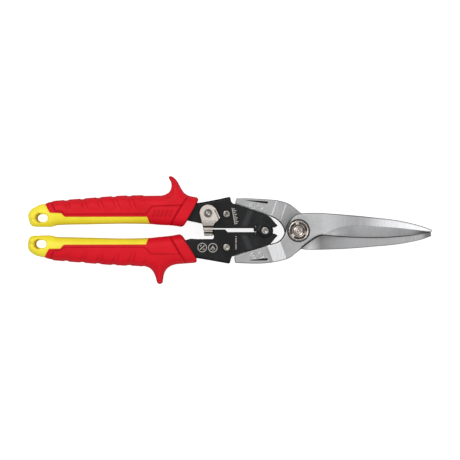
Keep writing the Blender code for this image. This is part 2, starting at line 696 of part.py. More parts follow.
def build():
    """Make every piece and hang the moving ones on their pivots."""
    forged = new_material("forged_steel", (0.52, 0.53, 0.55), 0.38, 1.0)
    black = new_material("black_coated_steel", (0.03, 0.031, 0.033), 0.42, 0.3)
    nickel = new_material("nickel_plate", (0.62, 0.57, 0.52), 0.28, 1.0)
    rivet_steel = new_material("rivet_steel", (0.45, 0.43, 0.41), 0.35, 1.0)
    spring_steel = new_material("spring_steel", (0.3, 0.3, 0.31), 0.4, 1.0)
    red = new_material("red_soft_grip", (0.66, 0.014, 0.03), 0.5, 0.0)
    yellow = new_material("yellow_hard_core", (0.86, 0.72, 0.03), 0.45, 0.0)

    front = jaw("front_jaw", front_jaw_outline(), LOWER_ARM_PIN, ARM_PIN_R + GAP, 1, forged)
    boolean(front, nut_recess())
    rear = jaw("rear_jaw", rear_jaw_outline(), UPPER_ARM_PIN, ARM_PIN_R + OPEN_PIVOT_CLEARANCE, -1,
               forged)
    seat = NUT_RECESS_FLOOR + GAP
    jaw_hardware = [
        pivot_bolt(nickel),
        pivot_nut(nickel),
        washer("pivot_spring_washer", THREAD_R + GAP, WASHER_R, seat, seat + 0.5, JAW_PIVOT,
               spring_steel),
        washer("pivot_head_washer", BOLT_R + GAP, WASHER_R, HEAD_TOP + GAP, -PIVOT_FACE - GAP,
               JAW_PIVOT, spring_steel)]

    upper_frame = upper_handle_frame(black)
    lower_handle_frame(black)
    plate_rivet("handle_pivot_rivet", HANDLE_PIVOT, HANDLE_RIVET_R, 3.1, 1.3, rivet_steel)
    washer("handle_pivot_bush", HANDLE_RIVET_R + GAP, 3.5, -LUG_IN + GAP, LUG_IN - GAP, HANDLE_PIVOT,
           spring_steel)
    handle_spring(spring_steel)
    upper_pin = plate_rivet("upper_arm_pin", UPPER_ARM_PIN, ARM_PIN_R, 2.8, 0.9, rivet_steel)
    plate_rivet("lower_arm_pin", LOWER_ARM_PIN, ARM_PIN_R, 2.8, 0.9, rivet_steel)

    thumb_latch = latch(nickel)
    latch_rivet = double_headed("latch_rivet", LATCH_PIVOT, LATCH_RIVET_R, (3.2, LATCH_HIGH + GAP, 8.8),
                                (2.6, TONGUE_FACE, 1.9), rivet_steel)
    latch_washer = washer("latch_spring_washer", LATCH_RIVET_R + GAP, 3.6, PLATE_OUT + GAP,
                          LATCH_LOW - GAP, LATCH_PIVOT, spring_steel, 20)

    upper_grip = [grip_core("upper", UPPER_STATIONS, UPPER_HOLE, 1, yellow),
                  soft_grip("upper", UPPER_STATIONS, UPPER_HORN, UPPER_FRONT, 1, red)]
    grip_core("lower", LOWER_STATIONS, LOWER_HOLE, -1, yellow)
    soft_grip("lower", LOWER_STATIONS, LOWER_HORN, LOWER_FRONT, -1, red)

    arm_axis = pivot_empty("lower_arm_axis", LOWER_ARM_PIN, [front, *jaw_hardware])
    pivot_empty("jaw_axis", JAW_PIVOT, [rear], arm_axis)
    handle_axis = pivot_empty("handle_axis", HANDLE_PIVOT,
                              [upper_frame, upper_pin, latch_rivet, latch_washer, *upper_grip])
    pivot_empty("latch_axis", LATCH_PIVOT, [thumb_latch], handle_axis)


clear_scene()
PARTS = new_collection(SCENE_NAME)
CUTTERS = new_collection("cutters")
build()
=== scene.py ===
"""The looks of the long-cut aviation snips, built round the solid model.

Places are in millimetres in the solid model's frame: the origin is on the jaws' pivot axis, +X runs
to the blade tips and +Z up from the bench.  Heights are levels above the shear plane, where the two
blades slide past each other, halfway up a grip.
"""

import math

import bmesh
import bpy
import numpy as np
from mathutils import Matrix, Vector
from mathutils.geometry import delaunay_2d_cdt
from mathutils.kdtree import KDTree


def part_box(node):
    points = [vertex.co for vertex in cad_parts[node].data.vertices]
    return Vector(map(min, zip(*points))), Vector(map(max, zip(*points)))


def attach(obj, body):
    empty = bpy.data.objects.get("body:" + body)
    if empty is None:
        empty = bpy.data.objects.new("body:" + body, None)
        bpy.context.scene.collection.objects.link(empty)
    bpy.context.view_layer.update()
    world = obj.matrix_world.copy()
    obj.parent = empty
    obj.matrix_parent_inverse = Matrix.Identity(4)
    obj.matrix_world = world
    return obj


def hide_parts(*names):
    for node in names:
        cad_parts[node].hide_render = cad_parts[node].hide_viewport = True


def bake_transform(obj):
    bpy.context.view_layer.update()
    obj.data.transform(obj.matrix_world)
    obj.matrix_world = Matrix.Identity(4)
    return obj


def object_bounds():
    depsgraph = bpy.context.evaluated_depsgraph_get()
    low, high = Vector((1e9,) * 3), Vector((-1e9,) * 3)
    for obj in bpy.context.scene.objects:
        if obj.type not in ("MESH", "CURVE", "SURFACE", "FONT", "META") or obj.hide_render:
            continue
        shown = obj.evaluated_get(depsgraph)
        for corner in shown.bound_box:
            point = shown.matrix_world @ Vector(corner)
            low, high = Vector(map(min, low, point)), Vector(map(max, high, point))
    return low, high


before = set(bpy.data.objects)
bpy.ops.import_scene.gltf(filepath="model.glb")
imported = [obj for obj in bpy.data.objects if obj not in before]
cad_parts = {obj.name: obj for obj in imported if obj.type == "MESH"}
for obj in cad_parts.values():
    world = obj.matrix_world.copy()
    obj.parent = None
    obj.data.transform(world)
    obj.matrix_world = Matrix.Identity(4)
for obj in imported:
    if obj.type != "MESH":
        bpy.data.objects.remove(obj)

CAD_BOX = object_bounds()
MM = 0.001


# ---- places read from the solid model ----

SHEAR_PLANE = sum(corner.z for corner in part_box("upper_grip")) / 2


def middle_of(node):
    """The middle of a node's box in plan, in millimetres."""
    low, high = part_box(node)
    return ((low.x + high.x) / 2 / MM, (low.y + high.y) / 2 / MM)


def levels_of(node):
    """The lowest and the highest level of a node."""
    return tuple((corner.z - SHEAR_PLANE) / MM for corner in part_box(node))


def radius_of(node):
    """The outer radius of a round node."""
    low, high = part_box(node)
    return (high.x - low.x) / 2 / MM


JAW_PIVOT = middle_of("pivot_nut")
HANDLE_PIVOT = middle_of("handle_pivot_rivet")
UPPER_ARM_PIN = middle_of("upper_arm_pin")
LOWER_ARM_PIN = middle_of("lower_arm_pin")
LATCH_PIVOT = middle_of("latch_rivet")
PLATE_OUT = levels_of("upper_handle_frame")[1]
PIVOT_FACE = levels_of("front_jaw")[1]
GRIP_HALF = levels_of("upper_grip")[1]

PLATE_IN = PLATE_OUT - 2.0        # inner face of a handle's side plate
ARM_FACE = PIVOT_FACE - 1.0       # outer face of a jaw's arm
TONGUE_FACE = 2.9                 # outer face of an arm's tongue, inside the handle
TIP_FACE = 3.3                    # outer face of a blade at its tip
SHEAR_GAP = 0.15                  # from the shear plane to each blade's inner face
GAP = 0.3                         # running clearance


# ---- lines ----

def arc(centre, radius, start, end, steps=36):
    """Points on an arc, from the start angle to the end angle in degrees, both included."""
    angles = np.radians(np.linspace(start, end, steps + 1))
    return np.column_stack((centre[0] + radius * np.cos(angles), centre[1] + radius * np.sin(angles)))


def circle(centre, radius, step=0.5):
    """A closed round line, without its last point."""
    return arc(centre, radius, 0.0, 360.0, max(16, round(2 * math.pi * radius / step)))[:-1]


def straight(points, step=0.6):
    """A line with corners, with a point at least every step."""
    points = np.array(points, float)
    run = []
    for a, b in zip(points, points[1:]):
        count = max(1, math.ceil(np.linalg.norm(b - a) / step))
        run.append(a + (b - a) * np.arange(count)[:, None] / count)
    return np.vstack((*run, points[-1:]))


def curve(points, step=0.6):
    """A smooth line through the points, with a point every step; it doesn't overshoot at tight corners."""
    p = np.array(points, float)
    p = np.vstack((2 * p[0] - p[1], p, 2 * p[-1] - p[-2]))
    gaps = np.sqrt(np.linalg.norm(np.diff(p, axis=0), axis=1))
    t = np.linspace(0.0, 1.0, 24, endpoint=False)[:, None]
    run = []
    for number in range(len(p) - 3):
        a, b, c, d = p[number:number + 4]
        before, gap, after = gaps[number:number + 3]
        leave = (c - b) + gap * ((b - a) / before - (c - a) / (before + gap))
        arrive = (c - b) + gap * ((d - c) / after - (d - b) / (gap + after))
        bend = 3 * (c - b) - 2 * leave - arrive + t * (2 * (b - c) + leave + arrive)
        run.append(b + t * (leave + t * bend))
    fine = np.vstack((*run, p[-2:-1]))
    length = np.concatenate(([0.0], np.cumsum(np.linalg.norm(np.diff(fine, axis=0), axis=1))))
    even = np.linspace(0.0, length[-1], max(2, round(length[-1] / step) + 1))
    return np.column_stack([np.interp(even, length, fine[:, axis]) for axis in (0, 1)])


def cornered(points, radius=0.7, step=0.5):
    """A line of straight stretches with slightly rounded corners."""
    p = np.array(points, float)
    run = [p[:1]]
    for before, corner, after in zip(p, p[1:], p[2:]):
        back, on = before - corner, after - corner
        enter = corner + back * min(0.5, radius / np.linalg.norm(back))
        leave = corner + on * min(0.5, radius / np.linalg.norm(on))
        t = np.linspace(0.0, 1.0, 5)[:, None]
        run.append((1 - t) ** 2 * enter + 2 * t * (1 - t) * corner + t ** 2 * leave)
    return straight(np.vstack((*run, p[-1:])), step)


def loop_of(*runs):
    """A closed outline from runs that meet end to end, without its last point."""
    points = [runs[0][0]]
    for point in np.vstack(runs)[1:]:
        if np.linalg.norm(point - points[-1]) > 0.02:
            points.append(point)
    if np.linalg.norm(points[-1] - points[0]) < 0.02:
        points.pop()
    return np.array(points)


def closed(loop):
    """The outline with its first point repeated at its end."""
    return np.vstack((loop, loop[:1]))


def flipped(line):
    """The line turned over about the X axis."""
    return np.array(line, float) * (1.0, -1.0)


def beside(line, distance):
    """The line moved to its left by the distance."""
    along = np.gradient(line, axis=0)
    along /= np.linalg.norm(along, axis=1)[:, None]
    return line + distance * np.column_stack((-along[:, 1], along[:, 0]))


def away(points, line):
    """The distance from each point to a line of short pieces."""
    tree = KDTree(len(line))
    for number, (x, y) in enumerate(line):
        tree.insert((x, y, 0.0), number)
    tree.balance()
    nearest = np.array([tree.find((x, y, 0.0))[1] for x, y in points], int)
    found = np.full(len(points), np.inf)
    for first in (np.maximum(nearest - 1, 0), np.minimum(nearest, len(line) - 2)):
        start, run = line[first], line[first + 1] - line[first]
        out = points - start
        share = np.clip((out * run).sum(1) / np.maximum((run ** 2).sum(1), 1e-12), 0.0, 1.0)
        found = np.minimum(found, np.hypot(*(out - share[:, None] * run).T))
    return found


def within(points, loop):
    """Whether each point is inside the outline."""
    x0, y0 = loop.T
    x1, y1 = np.roll(loop, -1, axis=0).T
    rise = np.where(y1 == y0, 1e-12, y1 - y0)
    found = []
    for part in np.array_split(points, max(1, len(points) // 2000)):
        x, y = part[:, :1], part[:, 1:]
        crossed = ((y0 > y) != (y1 > y)) & (x < x0 + (y - y0) * (x1 - x0) / rise)
        found.append(crossed.sum(1) % 2 == 1)
    return np.concatenate(found)


def eased(share):
    """0 before 0 and 1 after 1, with a smooth rise between."""
    share = np.clip(share, 0.0, 1.0)
    return share * share * (3 - 2 * share)


def soft(distance, width, start=1.5):
    """1 on a line and 0 away from it, with a smooth fall that ends at start widths."""
    return eased(start - distance / width)


def linear(distance, width, start=1.0):
    """1 on a line and 0 away from it, with a straight fall that ends at start widths."""
    return np.clip(start - distance / width, 0.0, 1.0)


def ramped(share, corner=0.06):
    """0 before 0 and 1 after 1, with a straight rise between and slightly rounded corners."""
    def bend(value):
        return np.where(value > corner, value, np.clip(value + corner, 0.0, None) ** 2 / (4 * corner))

    return bend(share) - bend(share - 1)


def rounding(distance, radius):
    """How far a rounded rim lies below the face, at a distance from the outline."""
    left = np.clip(1 - distance / radius, 0.0, 1.0)
    return radius * (1 - np.sqrt(1 - left * left))


def rim_rows(radius, count=5):
    """Distances from an outline at which a rounded rim needs points."""
    return [radius * (1 - math.cos(math.pi / 2 * i / count)) for i in range(1, count + 1)]


# ---- meshes ----

def lattice(box, spacing):
    """Points of a triangular lattice over a box of low X, low Y, high X, high Y."""
    rise = spacing * math.sqrt(3) / 2
    rows = []
    for number, y in enumerate(np.arange(box[1], box[3] + rise, rise)):
        xs = np.arange(box[0] + spacing / 2 * (number % 2), box[2] + spacing, spacing)
        rows.append(np.column_stack((xs, np.full(len(xs), y))))
    return np.vstack(rows)


def in_box(points, box):
    """Whether each point is in the box."""
    x, y = points.T
    return (x > box[0]) & (x < box[2]) & (y > box[1]) & (y < box[3])


def one_per_cell(points, size):
    """The points with no more than one in each cell of a square grid."""
    cells = np.floor(points / size).astype(int)
    first = np.unique(cells, axis=0, return_index=True)[1]
    return points[np.sort(first)]


SHARP = math.radians(32.0)        # edges between faces that turn more than this are drawn sharp


def new_object(name, data):
    """An object in the scene that holds the given data."""
    item = bpy.data.objects.new(name, data)
    bpy.context.scene.collection.objects.link(item)
    return item


def shade(mesh, angle=SHARP):
    """Shade a mesh smoothly, with its edges sharp where it turns more than the angle."""
    mesh.shade_smooth()
    mesh.set_sharp_from_angle(angle=angle)


def evaluated_mesh(item):
    """The mesh that an object's curve or modifiers make."""
    return bpy.data.meshes.new_from_object(item.evaluated_get(bpy.context.evaluated_depsgraph_get()))


def finish_mesh(name, vertices, faces, marks=None, matrix=None):
    """A welded, outward-facing, smoothly shaded object from points in millimetres and levels."""
    mesh = bpy.data.meshes.new(name)
    mesh.from_pydata((np.array(vertices) * MM).tolist(), [], faces)
    for label, values in (marks or {}).items():
        mesh.attributes.new(label, "FLOAT", "POINT").data.foreach_set("value", values.astype(np.float32))
    weld = bmesh.new()
    weld.from_mesh(mesh)
    bmesh.ops.remove_doubles(weld, verts=weld.verts, dist=0.002 * MM)
    bmesh.ops.recalc_face_normals(weld, faces=weld.faces)
    weld.to_mesh(mesh)
    weld.free()
    if matrix is not None:
        mesh.transform(matrix)
        if matrix.determinant() < 0:
            mesh.flip_normals()
    mesh.transform(Matrix.Translation((0.0, 0.0, SHEAR_PLANE)))
    shade(mesh)
    if "keen" in mesh.attributes:
        keen = [point.value > 0.5 for point in mesh.attributes["keen"].data]
        for edge in mesh.edges:
            first, last = edge.vertices
            edge.use_edge_sharp = edge.use_edge_sharp or (keen[first] and keen[last])
        mesh.attributes.remove(mesh.attributes["keen"])
    return new_object(name, mesh)


def relief(name, loops, top, bottom, spacing, rows=(), creases=(), fine=(), marks=None, matrix=None):
    """A piece between an upper and a lower surface, each a function of place, with a wall between them.

    loops are the outline and its holes, rows are lines and the distances at which points follow them,
    creases are lines for the mesh's edges, and fine is boxes with a spacing of their own.
    marks are functions of place and of whether the surface is the upper one, kept on the points.
    """
    rims = [closed(loop) for loop in loops]
    lines = [np.array(line) for line in creases]
    beside_rows = []
    for line, distances in rows:
        for distance in distances:
            for side in (distance, -distance):
                points = beside(line, side)
                clear = away(points, line) > 0.93 * abs(distance)
                beside_rows.append(points[clear])
    free = one_per_cell(np.vstack(beside_rows), 0.13) if beside_rows else np.empty((0, 2))
    low, high = np.vstack(loops).min(0), np.vstack(loops).max(0)
    grid = lattice((*low, *high), spacing)
    patches = []
    for box, closer in fine:
        grid = grid[~in_box(grid, box)]
        patches.append(lattice(box, closer))
    for line, distances in rows:
        reach = max(distances)
        grid = grid[away(grid, line) > reach + 0.55 * spacing]
        patches = [patch[away(patch, line) > reach + 0.1] for patch in patches]
    free = np.vstack((free, grid, *patches))
    free = free[sum(within(free, loop).astype(int) for loop in loops) % 2 == 1]
    for line in rims:
        free = free[away(free, line) > 0.04]
    for line in lines:
        free = free[away(free, line) > 0.1]
    points, edges = [], []
    for loop in loops:
        start = len(points)
        points.extend(loop)
        edges.extend((start + i, start + (i + 1) % len(loop)) for i in range(len(loop)))
    for line in lines:
        start = len(points)
        points.extend(line)
        edges.extend((start + i, start + i + 1) for i in range(len(line) - 1))
    points.extend(free)
    made = delaunay_2d_cdt([Vector(p) for p in points], edges, [], 0, 1e-5)
    plan = np.array([tuple(p) for p in made[0]])
    triangles = np.array(made[2])
    centres = plan[triangles].mean(1)
    triangles = triangles[sum(within(centres, loop).astype(int) for loop in loops) % 2 == 1]
    a, b, c = (plan[triangles[:, i]] for i in range(3))
    area = (b[:, 0] - a[:, 0]) * (c[:, 1] - a[:, 1]) - (b[:, 1] - a[:, 1]) * (c[:, 0] - a[:, 0])
    triangles[area < 0] = triangles[area < 0][:, ::-1]
    used = np.unique(triangles)
    place = np.zeros(len(plan), int)
    place[used] = np.arange(len(used))
    plan, triangles = plan[used], place[triangles]
    upper, lower = top(plan), bottom(plan)
    upper = np.maximum(upper, lower)
    count = len(plan)
    sides = np.vstack((triangles[:, (0, 1)], triangles[:, (1, 2)], triangles[:, (2, 0)]))
    seen = {tuple(side) for side in sides.tolist()}
    walls = [(i, i + count, j + count, j) for i, j in seen if (j, i) not in seen]
    vertices = np.vstack((np.column_stack((plan, upper)), np.column_stack((plan, lower))))
    faces = triangles.tolist() + (triangles[:, ::-1] + count).tolist() + sorted(walls)
    kept = {}
    for label, mark in (marks or {}).items():
        kept[label] = np.concatenate((mark(plan, True), mark(plan, False)))
    return finish_mesh(name, vertices, faces, kept, matrix)


def lathe(name, centre, profile, steps=96, ring=False, shape=None, mark=None):
    """A turned piece: a profile of radius and level; shape gives a height to add at a radius and angle."""
    angles = 2 * math.pi * np.arange(steps) / steps
    vertices, rows, faces = [], [], []
    for radius, level in profile:
        if radius == 0.0:
            rows.append([len(vertices)] * steps)
            vertices.append((*centre, level))
            continue
        rows.append(list(range(len(vertices), len(vertices) + steps)))
        lift = shape(radius, angles, level) if shape else np.zeros(steps)
        for angle, extra in zip(angles, lift):
            x, y = radius * math.cos(angle), radius * math.sin(angle)
            vertices.append((centre[0] + x, centre[1] + y, level + extra))
    pairs = list(zip(rows, rows[1:])) + ([(rows[-1], rows[0])] if ring else [])
    for near, far in pairs:
        for i in range(steps):
            j = (i + 1) % steps
            faces.append(list(dict.fromkeys((near[i], near[j], far[j], far[i]))))
    marks = {"dark_and_painted_shade": mark(np.array(vertices) - (*centre, 0.0))} if mark else None
    return finish_mesh(name, vertices, faces, marks)


def cut(piece, tool, operation="DIFFERENCE"):
    """Cut a piece with another, or join them; the other one is used up."""
    modifier = piece.modifiers.new(operation, "BOOLEAN")
    modifier.operation = operation
    modifier.object = tool
    modifier.solver = "EXACT"
    mesh = evaluated_mesh(piece)
    piece.modifiers.clear()
    piece.data = mesh
    bpy.data.objects.remove(tool, do_unlink=True)
    shade(mesh)


def slab(name, loops, low, high):
    """A flat piece between two levels."""
    def flat(level):
        return lambda points: np.full(len(points), level)

    return relief(name, loops, flat(high), flat(low), 6.0)


# ---- materials ----

def add(tree, kind, settings=None, **values):
    """Add a node; a value that is another node's output is linked."""
    item = tree.nodes.new("ShaderNode" + kind)
    for key, value in (settings or {}).items():
        setattr(item, key, value)
    for key, value in values.items():
        socket = item.inputs[int(key[1:])] if key[1:].isdigit() else item.inputs[key.replace("_", " ")]
        if isinstance(value, bpy.types.NodeSocket):
            tree.links.new(value, socket)
        else:
            socket.default_value = value
    return item


def colour(value):
    """A colour with its alpha from a grey or three numbers; another node's output stays as it is."""
    if isinstance(value, float):
        value = (value, value, value)
    return (*value, 1.0) if isinstance(value, tuple) else value


class Finish:
    """A Principled material; its methods add nodes and give back their outputs."""

    def __init__(self, name, **values):
        self.material = bpy.data.materials.new(name)
        self.material.use_nodes = True
        self.tree = self.material.node_tree
        self.shader = self.tree.nodes["Principled BSDF"]
        for key, value in values.items():
            self.shader.inputs[key.replace("_", " ")].default_value = value

    def use(self, label, output):
        """Link an output to one of the shader's inputs."""
        self.tree.links.new(output, self.shader.inputs[label])

    def mark(self, label):
        """A number kept on the mesh's points."""
        return add(self.tree, "Attribute", {"attribute_name": label}).outputs["Fac"]

    def noise(self, scale, detail=3.0, stretch=(1.0, 1.0, 1.0), turn=0.0):
        """Noise on the object's own coordinates, stretched and turned about Z."""
        place = add(self.tree, "TexCoord").outputs["Object"]
        place = add(self.tree, "Mapping", Vector=place, Scale=stretch, Rotation=(0.0, 0.0, turn)).outputs[0]
        return add(self.tree, "TexNoise", Vector=place, Scale=scale, Detail=detail).outputs["Fac"]

    def spread(self, noise, low=0.0, high=1.0):
        """The middle of a noise's range, stretched to run from low to high."""
        return add(self.tree, "MapRange", Value=noise, _1=0.35, _2=0.65, _3=low, _4=high).outputs[0]

    def mix(self, share, first, second, mode="MIX"):
        """A mix of two colours."""
        settings = {"data_type": "RGBA", "blend_type": mode}
        return add(self.tree, "Mix", settings, _0=share, _6=colour(first), _7=colour(second)).outputs[2]

    def between(self, share, first, second):
        """A number between two others."""
        return add(self.tree, "Mix", _0=share, _2=first, _3=second).outputs[0]

    def bump(self, height, distance, strength):
        """Bump on the shader, with the distance in millimetres."""
        bump = add(self.tree, "Bump", Height=height, Strength=strength, Distance=distance * MM)
        self.use("Normal", bump.outputs[0])


def forged_steel():
    """Sand-blasted forged steel, brushed across where it is ground; its tone carries painted highlights and
    painted shadow, and a near-black mix darkens its grooves and paints shade and shadow along rims and edges.
    """
    finish = Finish("forged_steel_finish", Metallic=0.92)
    ground, scale = finish.mark("ground"), finish.mark("scale")
    grain = finish.noise(2600.0, 4.0)
    brush = finish.noise(420.0, 3.0, (6.0, 0.25, 1.0))
    cloud = finish.spread(finish.noise(90.0))
    blasted = finish.mix(cloud, (0.90, 0.905, 0.91), (1.02, 1.02, 1.03))
    blasted = finish.mix(1.0, blasted, finish.mix(finish.spread(grain), 0.78, 1.0), "MULTIPLY")
    brushed = finish.mix(finish.spread(brush), (0.86, 0.865, 0.88), (1.0, 1.0, 1.015))
    metal = finish.mix(ground, blasted, brushed)
    # Painted light: the tone mark multiplies in painted highlights and painted shadow along with the metal's
    # own lightness.
    metal = finish.mix(1.0, metal, finish.mix(finish.mark("tone_and_painted_light"), 0.0, 1.0), "MULTIPLY")
    # Painted shade: the scale mark mixes in near-black along rims, creases and shadowed lines, and in the
    # forging grooves.
    finish.use("Base Color", finish.mix(scale, metal, (0.022, 0.019, 0.017)))
    finish.use("Roughness", finish.between(scale, finish.between(ground, 0.48, 0.36), 0.75))
    finish.bump(finish.between(ground, grain, brush), 0.03, 0.5)
    return finish.material


def black_paint():
    """Black powder coat on the folded handle frames, with painted sheen in slanted bands and painted shade in
    deep black along its edges.
    """
    finish = Finish("black_coat_finish", Metallic=0.0, Specular_IOR_Level=0.2)
    peel = finish.noise(1500.0)
    broad = finish.noise(60.0, 2.0, (1.0, 0.35, 1.0), math.radians(28.0))
    # Slanted broad mottling that paints faint sheen bands.
    coat = finish.mix(finish.spread(broad), (0.0022, 0.0024, 0.0027), (0.011, 0.0115, 0.0125))
    coat = finish.mix(1.0, coat, finish.mix(finish.spread(peel), 0.35, 1.9), "MULTIPLY")
    # Painted sheen: a paler band where a reflection lies.
    coat = finish.mix(finish.mark("painted_sheen"), coat, (0.034, 0.036, 0.038))
    # Painted shade: deep black along the edges and round the holes.
    finish.use("Base Color", finish.mix(finish.mark("edge"), coat, (0.0022, 0.0022, 0.0024)))
    finish.use("Roughness", finish.spread(broad, 0.36, 0.52))
    finish.bump(peel, 0.04, 0.6)
    return finish.material


def plated(name, dark, light, roughness, scale):
    """Plated or bare small hardware, with soft mottling, fine scratches and a dark mark that darkens pockets
    and dimples and paints shade into grooves and round edges.
    """
    finish = Finish(name, Metallic=1.0)
    scratch = finish.noise(900.0, 2.0, (1.0, 8.0, 1.0), math.radians(35.0))
    metal = finish.mix(finish.spread(finish.noise(scale, 4.0)), dark, light)
    # The dark mark: darker in the nut's pockets and the rivets' dimples, painted shade in grooves and round
    # rims.
    finish.use("Base Color", finish.mix(finish.mark("dark_and_painted_shade"), metal, (0.016, 0.014, 0.012)))
    finish.use("Roughness", finish.spread(scratch, roughness - 0.06, roughness + 0.08))
    finish.bump(scratch, 0.012, 0.5)
    return finish.material


def moulded(name, dark, light, roughness, grain_scale, specular, painted_shade_tint):
    """Moulded plastic or rubber with a fine grain, tinted darker by painted shade in its grooves, at its
    steps, along its rims and round its holes.
    """
    finish = Finish(name, Metallic=0.0, Specular_IOR_Level=specular)
    grain = finish.noise(grain_scale)
    body = finish.mix(finish.spread(finish.noise(55.0)), dark, light)
    shade = finish.mix(finish.mark("groove"), 1.0, painted_shade_tint)
    finish.use("Base Color", finish.mix(1.0, body, shade, "MULTIPLY"))
    finish.use("Roughness", finish.spread(grain, roughness - 0.05, roughness + 0.07))
    finish.bump(grain, 0.035, 0.4)
    return finish.material


def printed():
    """Worn light ink."""
    finish = Finish("ink_finish", Metallic=0.0, Roughness=0.6)
    worn = finish.mix(finish.spread(finish.noise(3600.0)), (0.26, 0.24, 0.22), (0.52, 0.49, 0.45))
    finish.use("Base Color", worn)
    return finish.material


STEEL = forged_steel()
BLACK = black_paint()
NICKEL = plated("nickel_finish", (0.56, 0.51, 0.46), (0.68, 0.63, 0.58), 0.34, 120.0)
NUT_NICKEL = plated("nut_finish", (0.24, 0.205, 0.18), (0.72, 0.65, 0.60), 0.22, 420.0)
RIVET = plated("rivet_finish", (0.24, 0.222, 0.205), (0.38, 0.355, 0.33), 0.3, 300.0)
SPRING = plated("spring_finish", (0.045, 0.045, 0.048), (0.09, 0.09, 0.095), 0.4, 200.0)
# The last colour of each is the tint of the painted shade.
RED = moulded("red_grip_finish", (0.60, 0.005, 0.014), (0.67, 0.007, 0.018), 0.5, 1600.0, 0.12,
              (0.55, 0.45, 0.5))
YELLOW = moulded("yellow_core_finish", (0.83, 0.70, 0.036), (0.91, 0.78, 0.050), 0.38, 2200.0, 0.22,
                 (0.60, 0.46, 0.22))
INK = printed()


def dress(piece, body, node, material):
    """Give a piece its material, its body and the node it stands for."""
    piece.data.materials.clear()
    piece.data.materials.append(material)
    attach(piece, body)
    if node:
        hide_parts(node)


# ---- jaws ----

# Each jaw is drawn with its blade above the shear plane and its arm on the side of -Y.  The front jaw
# lies that way; the rear jaw is the same kind of piece turned half round about the X axis.
FRONT_JAW = {
    "back": [(-20.6, -10.0), (-15.5, -8.4), (-12.4, -5.8), (-10.7, -3.0), (-9.7, 0.0), (-8.6, 3.8),
             (-5.1, 8.9), (-0.9, 12.0), (4.4, 12.9), (15.0, 13.0), (35.0, 11.7), (54.9, 9.8), (74.9, 7.3),
             (91.4, 3.3), (99.3, 0.5)],
    "edge": [(98.4, -1.3), (84.5, -3.6), (64.9, -5.3), (44.9, -5.3), (29.4, -4.5), (20.0, -3.5)],
    "heel": [(20.0, -3.5), (16.8, -3.9), (13.6, -5.2), (7.9, -9.0), (-0.5, -15.4), (-6.3, -20.0),
             (-13.9, -22.5), (-24.0, -24.1), (-33.0, -24.4), (-46.7, -23.9)],
    "arm_end": [(-46.7, -23.9), (-47.4, -20.4), (-46.9, -19.0), (-48.2, -18.9)],
    "shoulder": [(-48.5, -19.1), (-46.9, -19.0), (-35.4, -15.0), (-24.2, -11.8), (-20.3, -9.9)],
    "groove": ((-37.1, -22.1), (-23.5, -21.2)),
    "emblems": [(-33.2, -18.6), (-28.0, -18.3)],
    "ramp": ((-10.9, -15.0), 10.1),
}
REAR_JAW = {
    "back": [(-20.4, -10.5), (-16.0, -8.3), (-12.6, -4.9), (-10.7, -1.5), (-9.9, 2.0),
             (-7.4, 6.6), (-3.2, 11.0), (2.6, 13.7), (9.0, 14.2), (15.0, 14.2), (35.0, 13.5), (54.9, 12.0),
             (74.9, 10.0), (91.4, 6.7), (98.7, 4.2)],
    "edge": [(98.6, 1.0), (84.5, -0.9), (64.9, -3.0), (44.9, -3.6), (29.4, -3.6), (20.0, -3.2)],
    "heel": [(20.0, -3.2), (16.8, -3.6), (13.6, -4.8), (7.9, -8.6), (0.2, -14.6), (-6.3, -19.6),
             (-13.9, -22.1), (-24.3, -23.2), (-39.8, -23.9), (-45.8, -23.8)],
    "arm_end": [(-45.8, -23.8), (-46.7, -20.5), (-46.5, -20.1), (-48.2, -18.9)],
    "shoulder": [(-48.5, -19.4), (-46.5, -20.1), (-35.3, -16.3), (-25.0, -12.9), (-20.1, -10.4)],
    "groove": ((-39.8, -22.5), (-23.3, -20.8)),
    "emblems": [(-34.2, -18.0), (-28.2, -17.8)],
    "ramp": ((-10.3, -15.0), 7.9),
}
RAMP_WAY = np.array((math.cos(math.radians(200.0)), math.sin(math.radians(200.0))))   # towards the arm
BEVEL = [(18.4, -3.9), (20.0, -2.4), (22.6, -0.4), (26.7, 1.4), (31.5, 2.8), (36.3, 3.6), (41.8, 3.9),
         (50.1, 3.8), (57.0, 3.3), (64.9, 2.8), (74.9, 2.0), (84.5, 0.9), (91.4, 0.0), (99.4, -1.1)]
BEVEL_RUN = 22.0                  # length over which the bevel deepens from its start
EDGE_FACE = 1.2                   # thickness left at the cutting edge
TAPER = (20.0, 79.5)              # where the blade starts to thin, and over what length
OUTER_RIM = 0.9
INNER_RIM = 0.6
TONGUE_R = 6.2
TONGUE_INNER = [(-44.0, -8.6), (-33.0, -10.6), (-23.5, -10.9)]
TONGUE_FRONT = -20.8              # the tongue lies behind this X
BORE_R = 5.3
NUT_SEAT = (8.2, 4.2)             # radius and floor of the round seat for the nut
GROOVE_DEPTH = 1.3
EMBLEM_R = 2.1
EMBLEM_LINE = 0.3                 # half width of the lines of the raised marks
EMBLEM_RISE = 0.3
EMBLEM_BOX = (-41.0, -23.6, -22.0, -15.0)

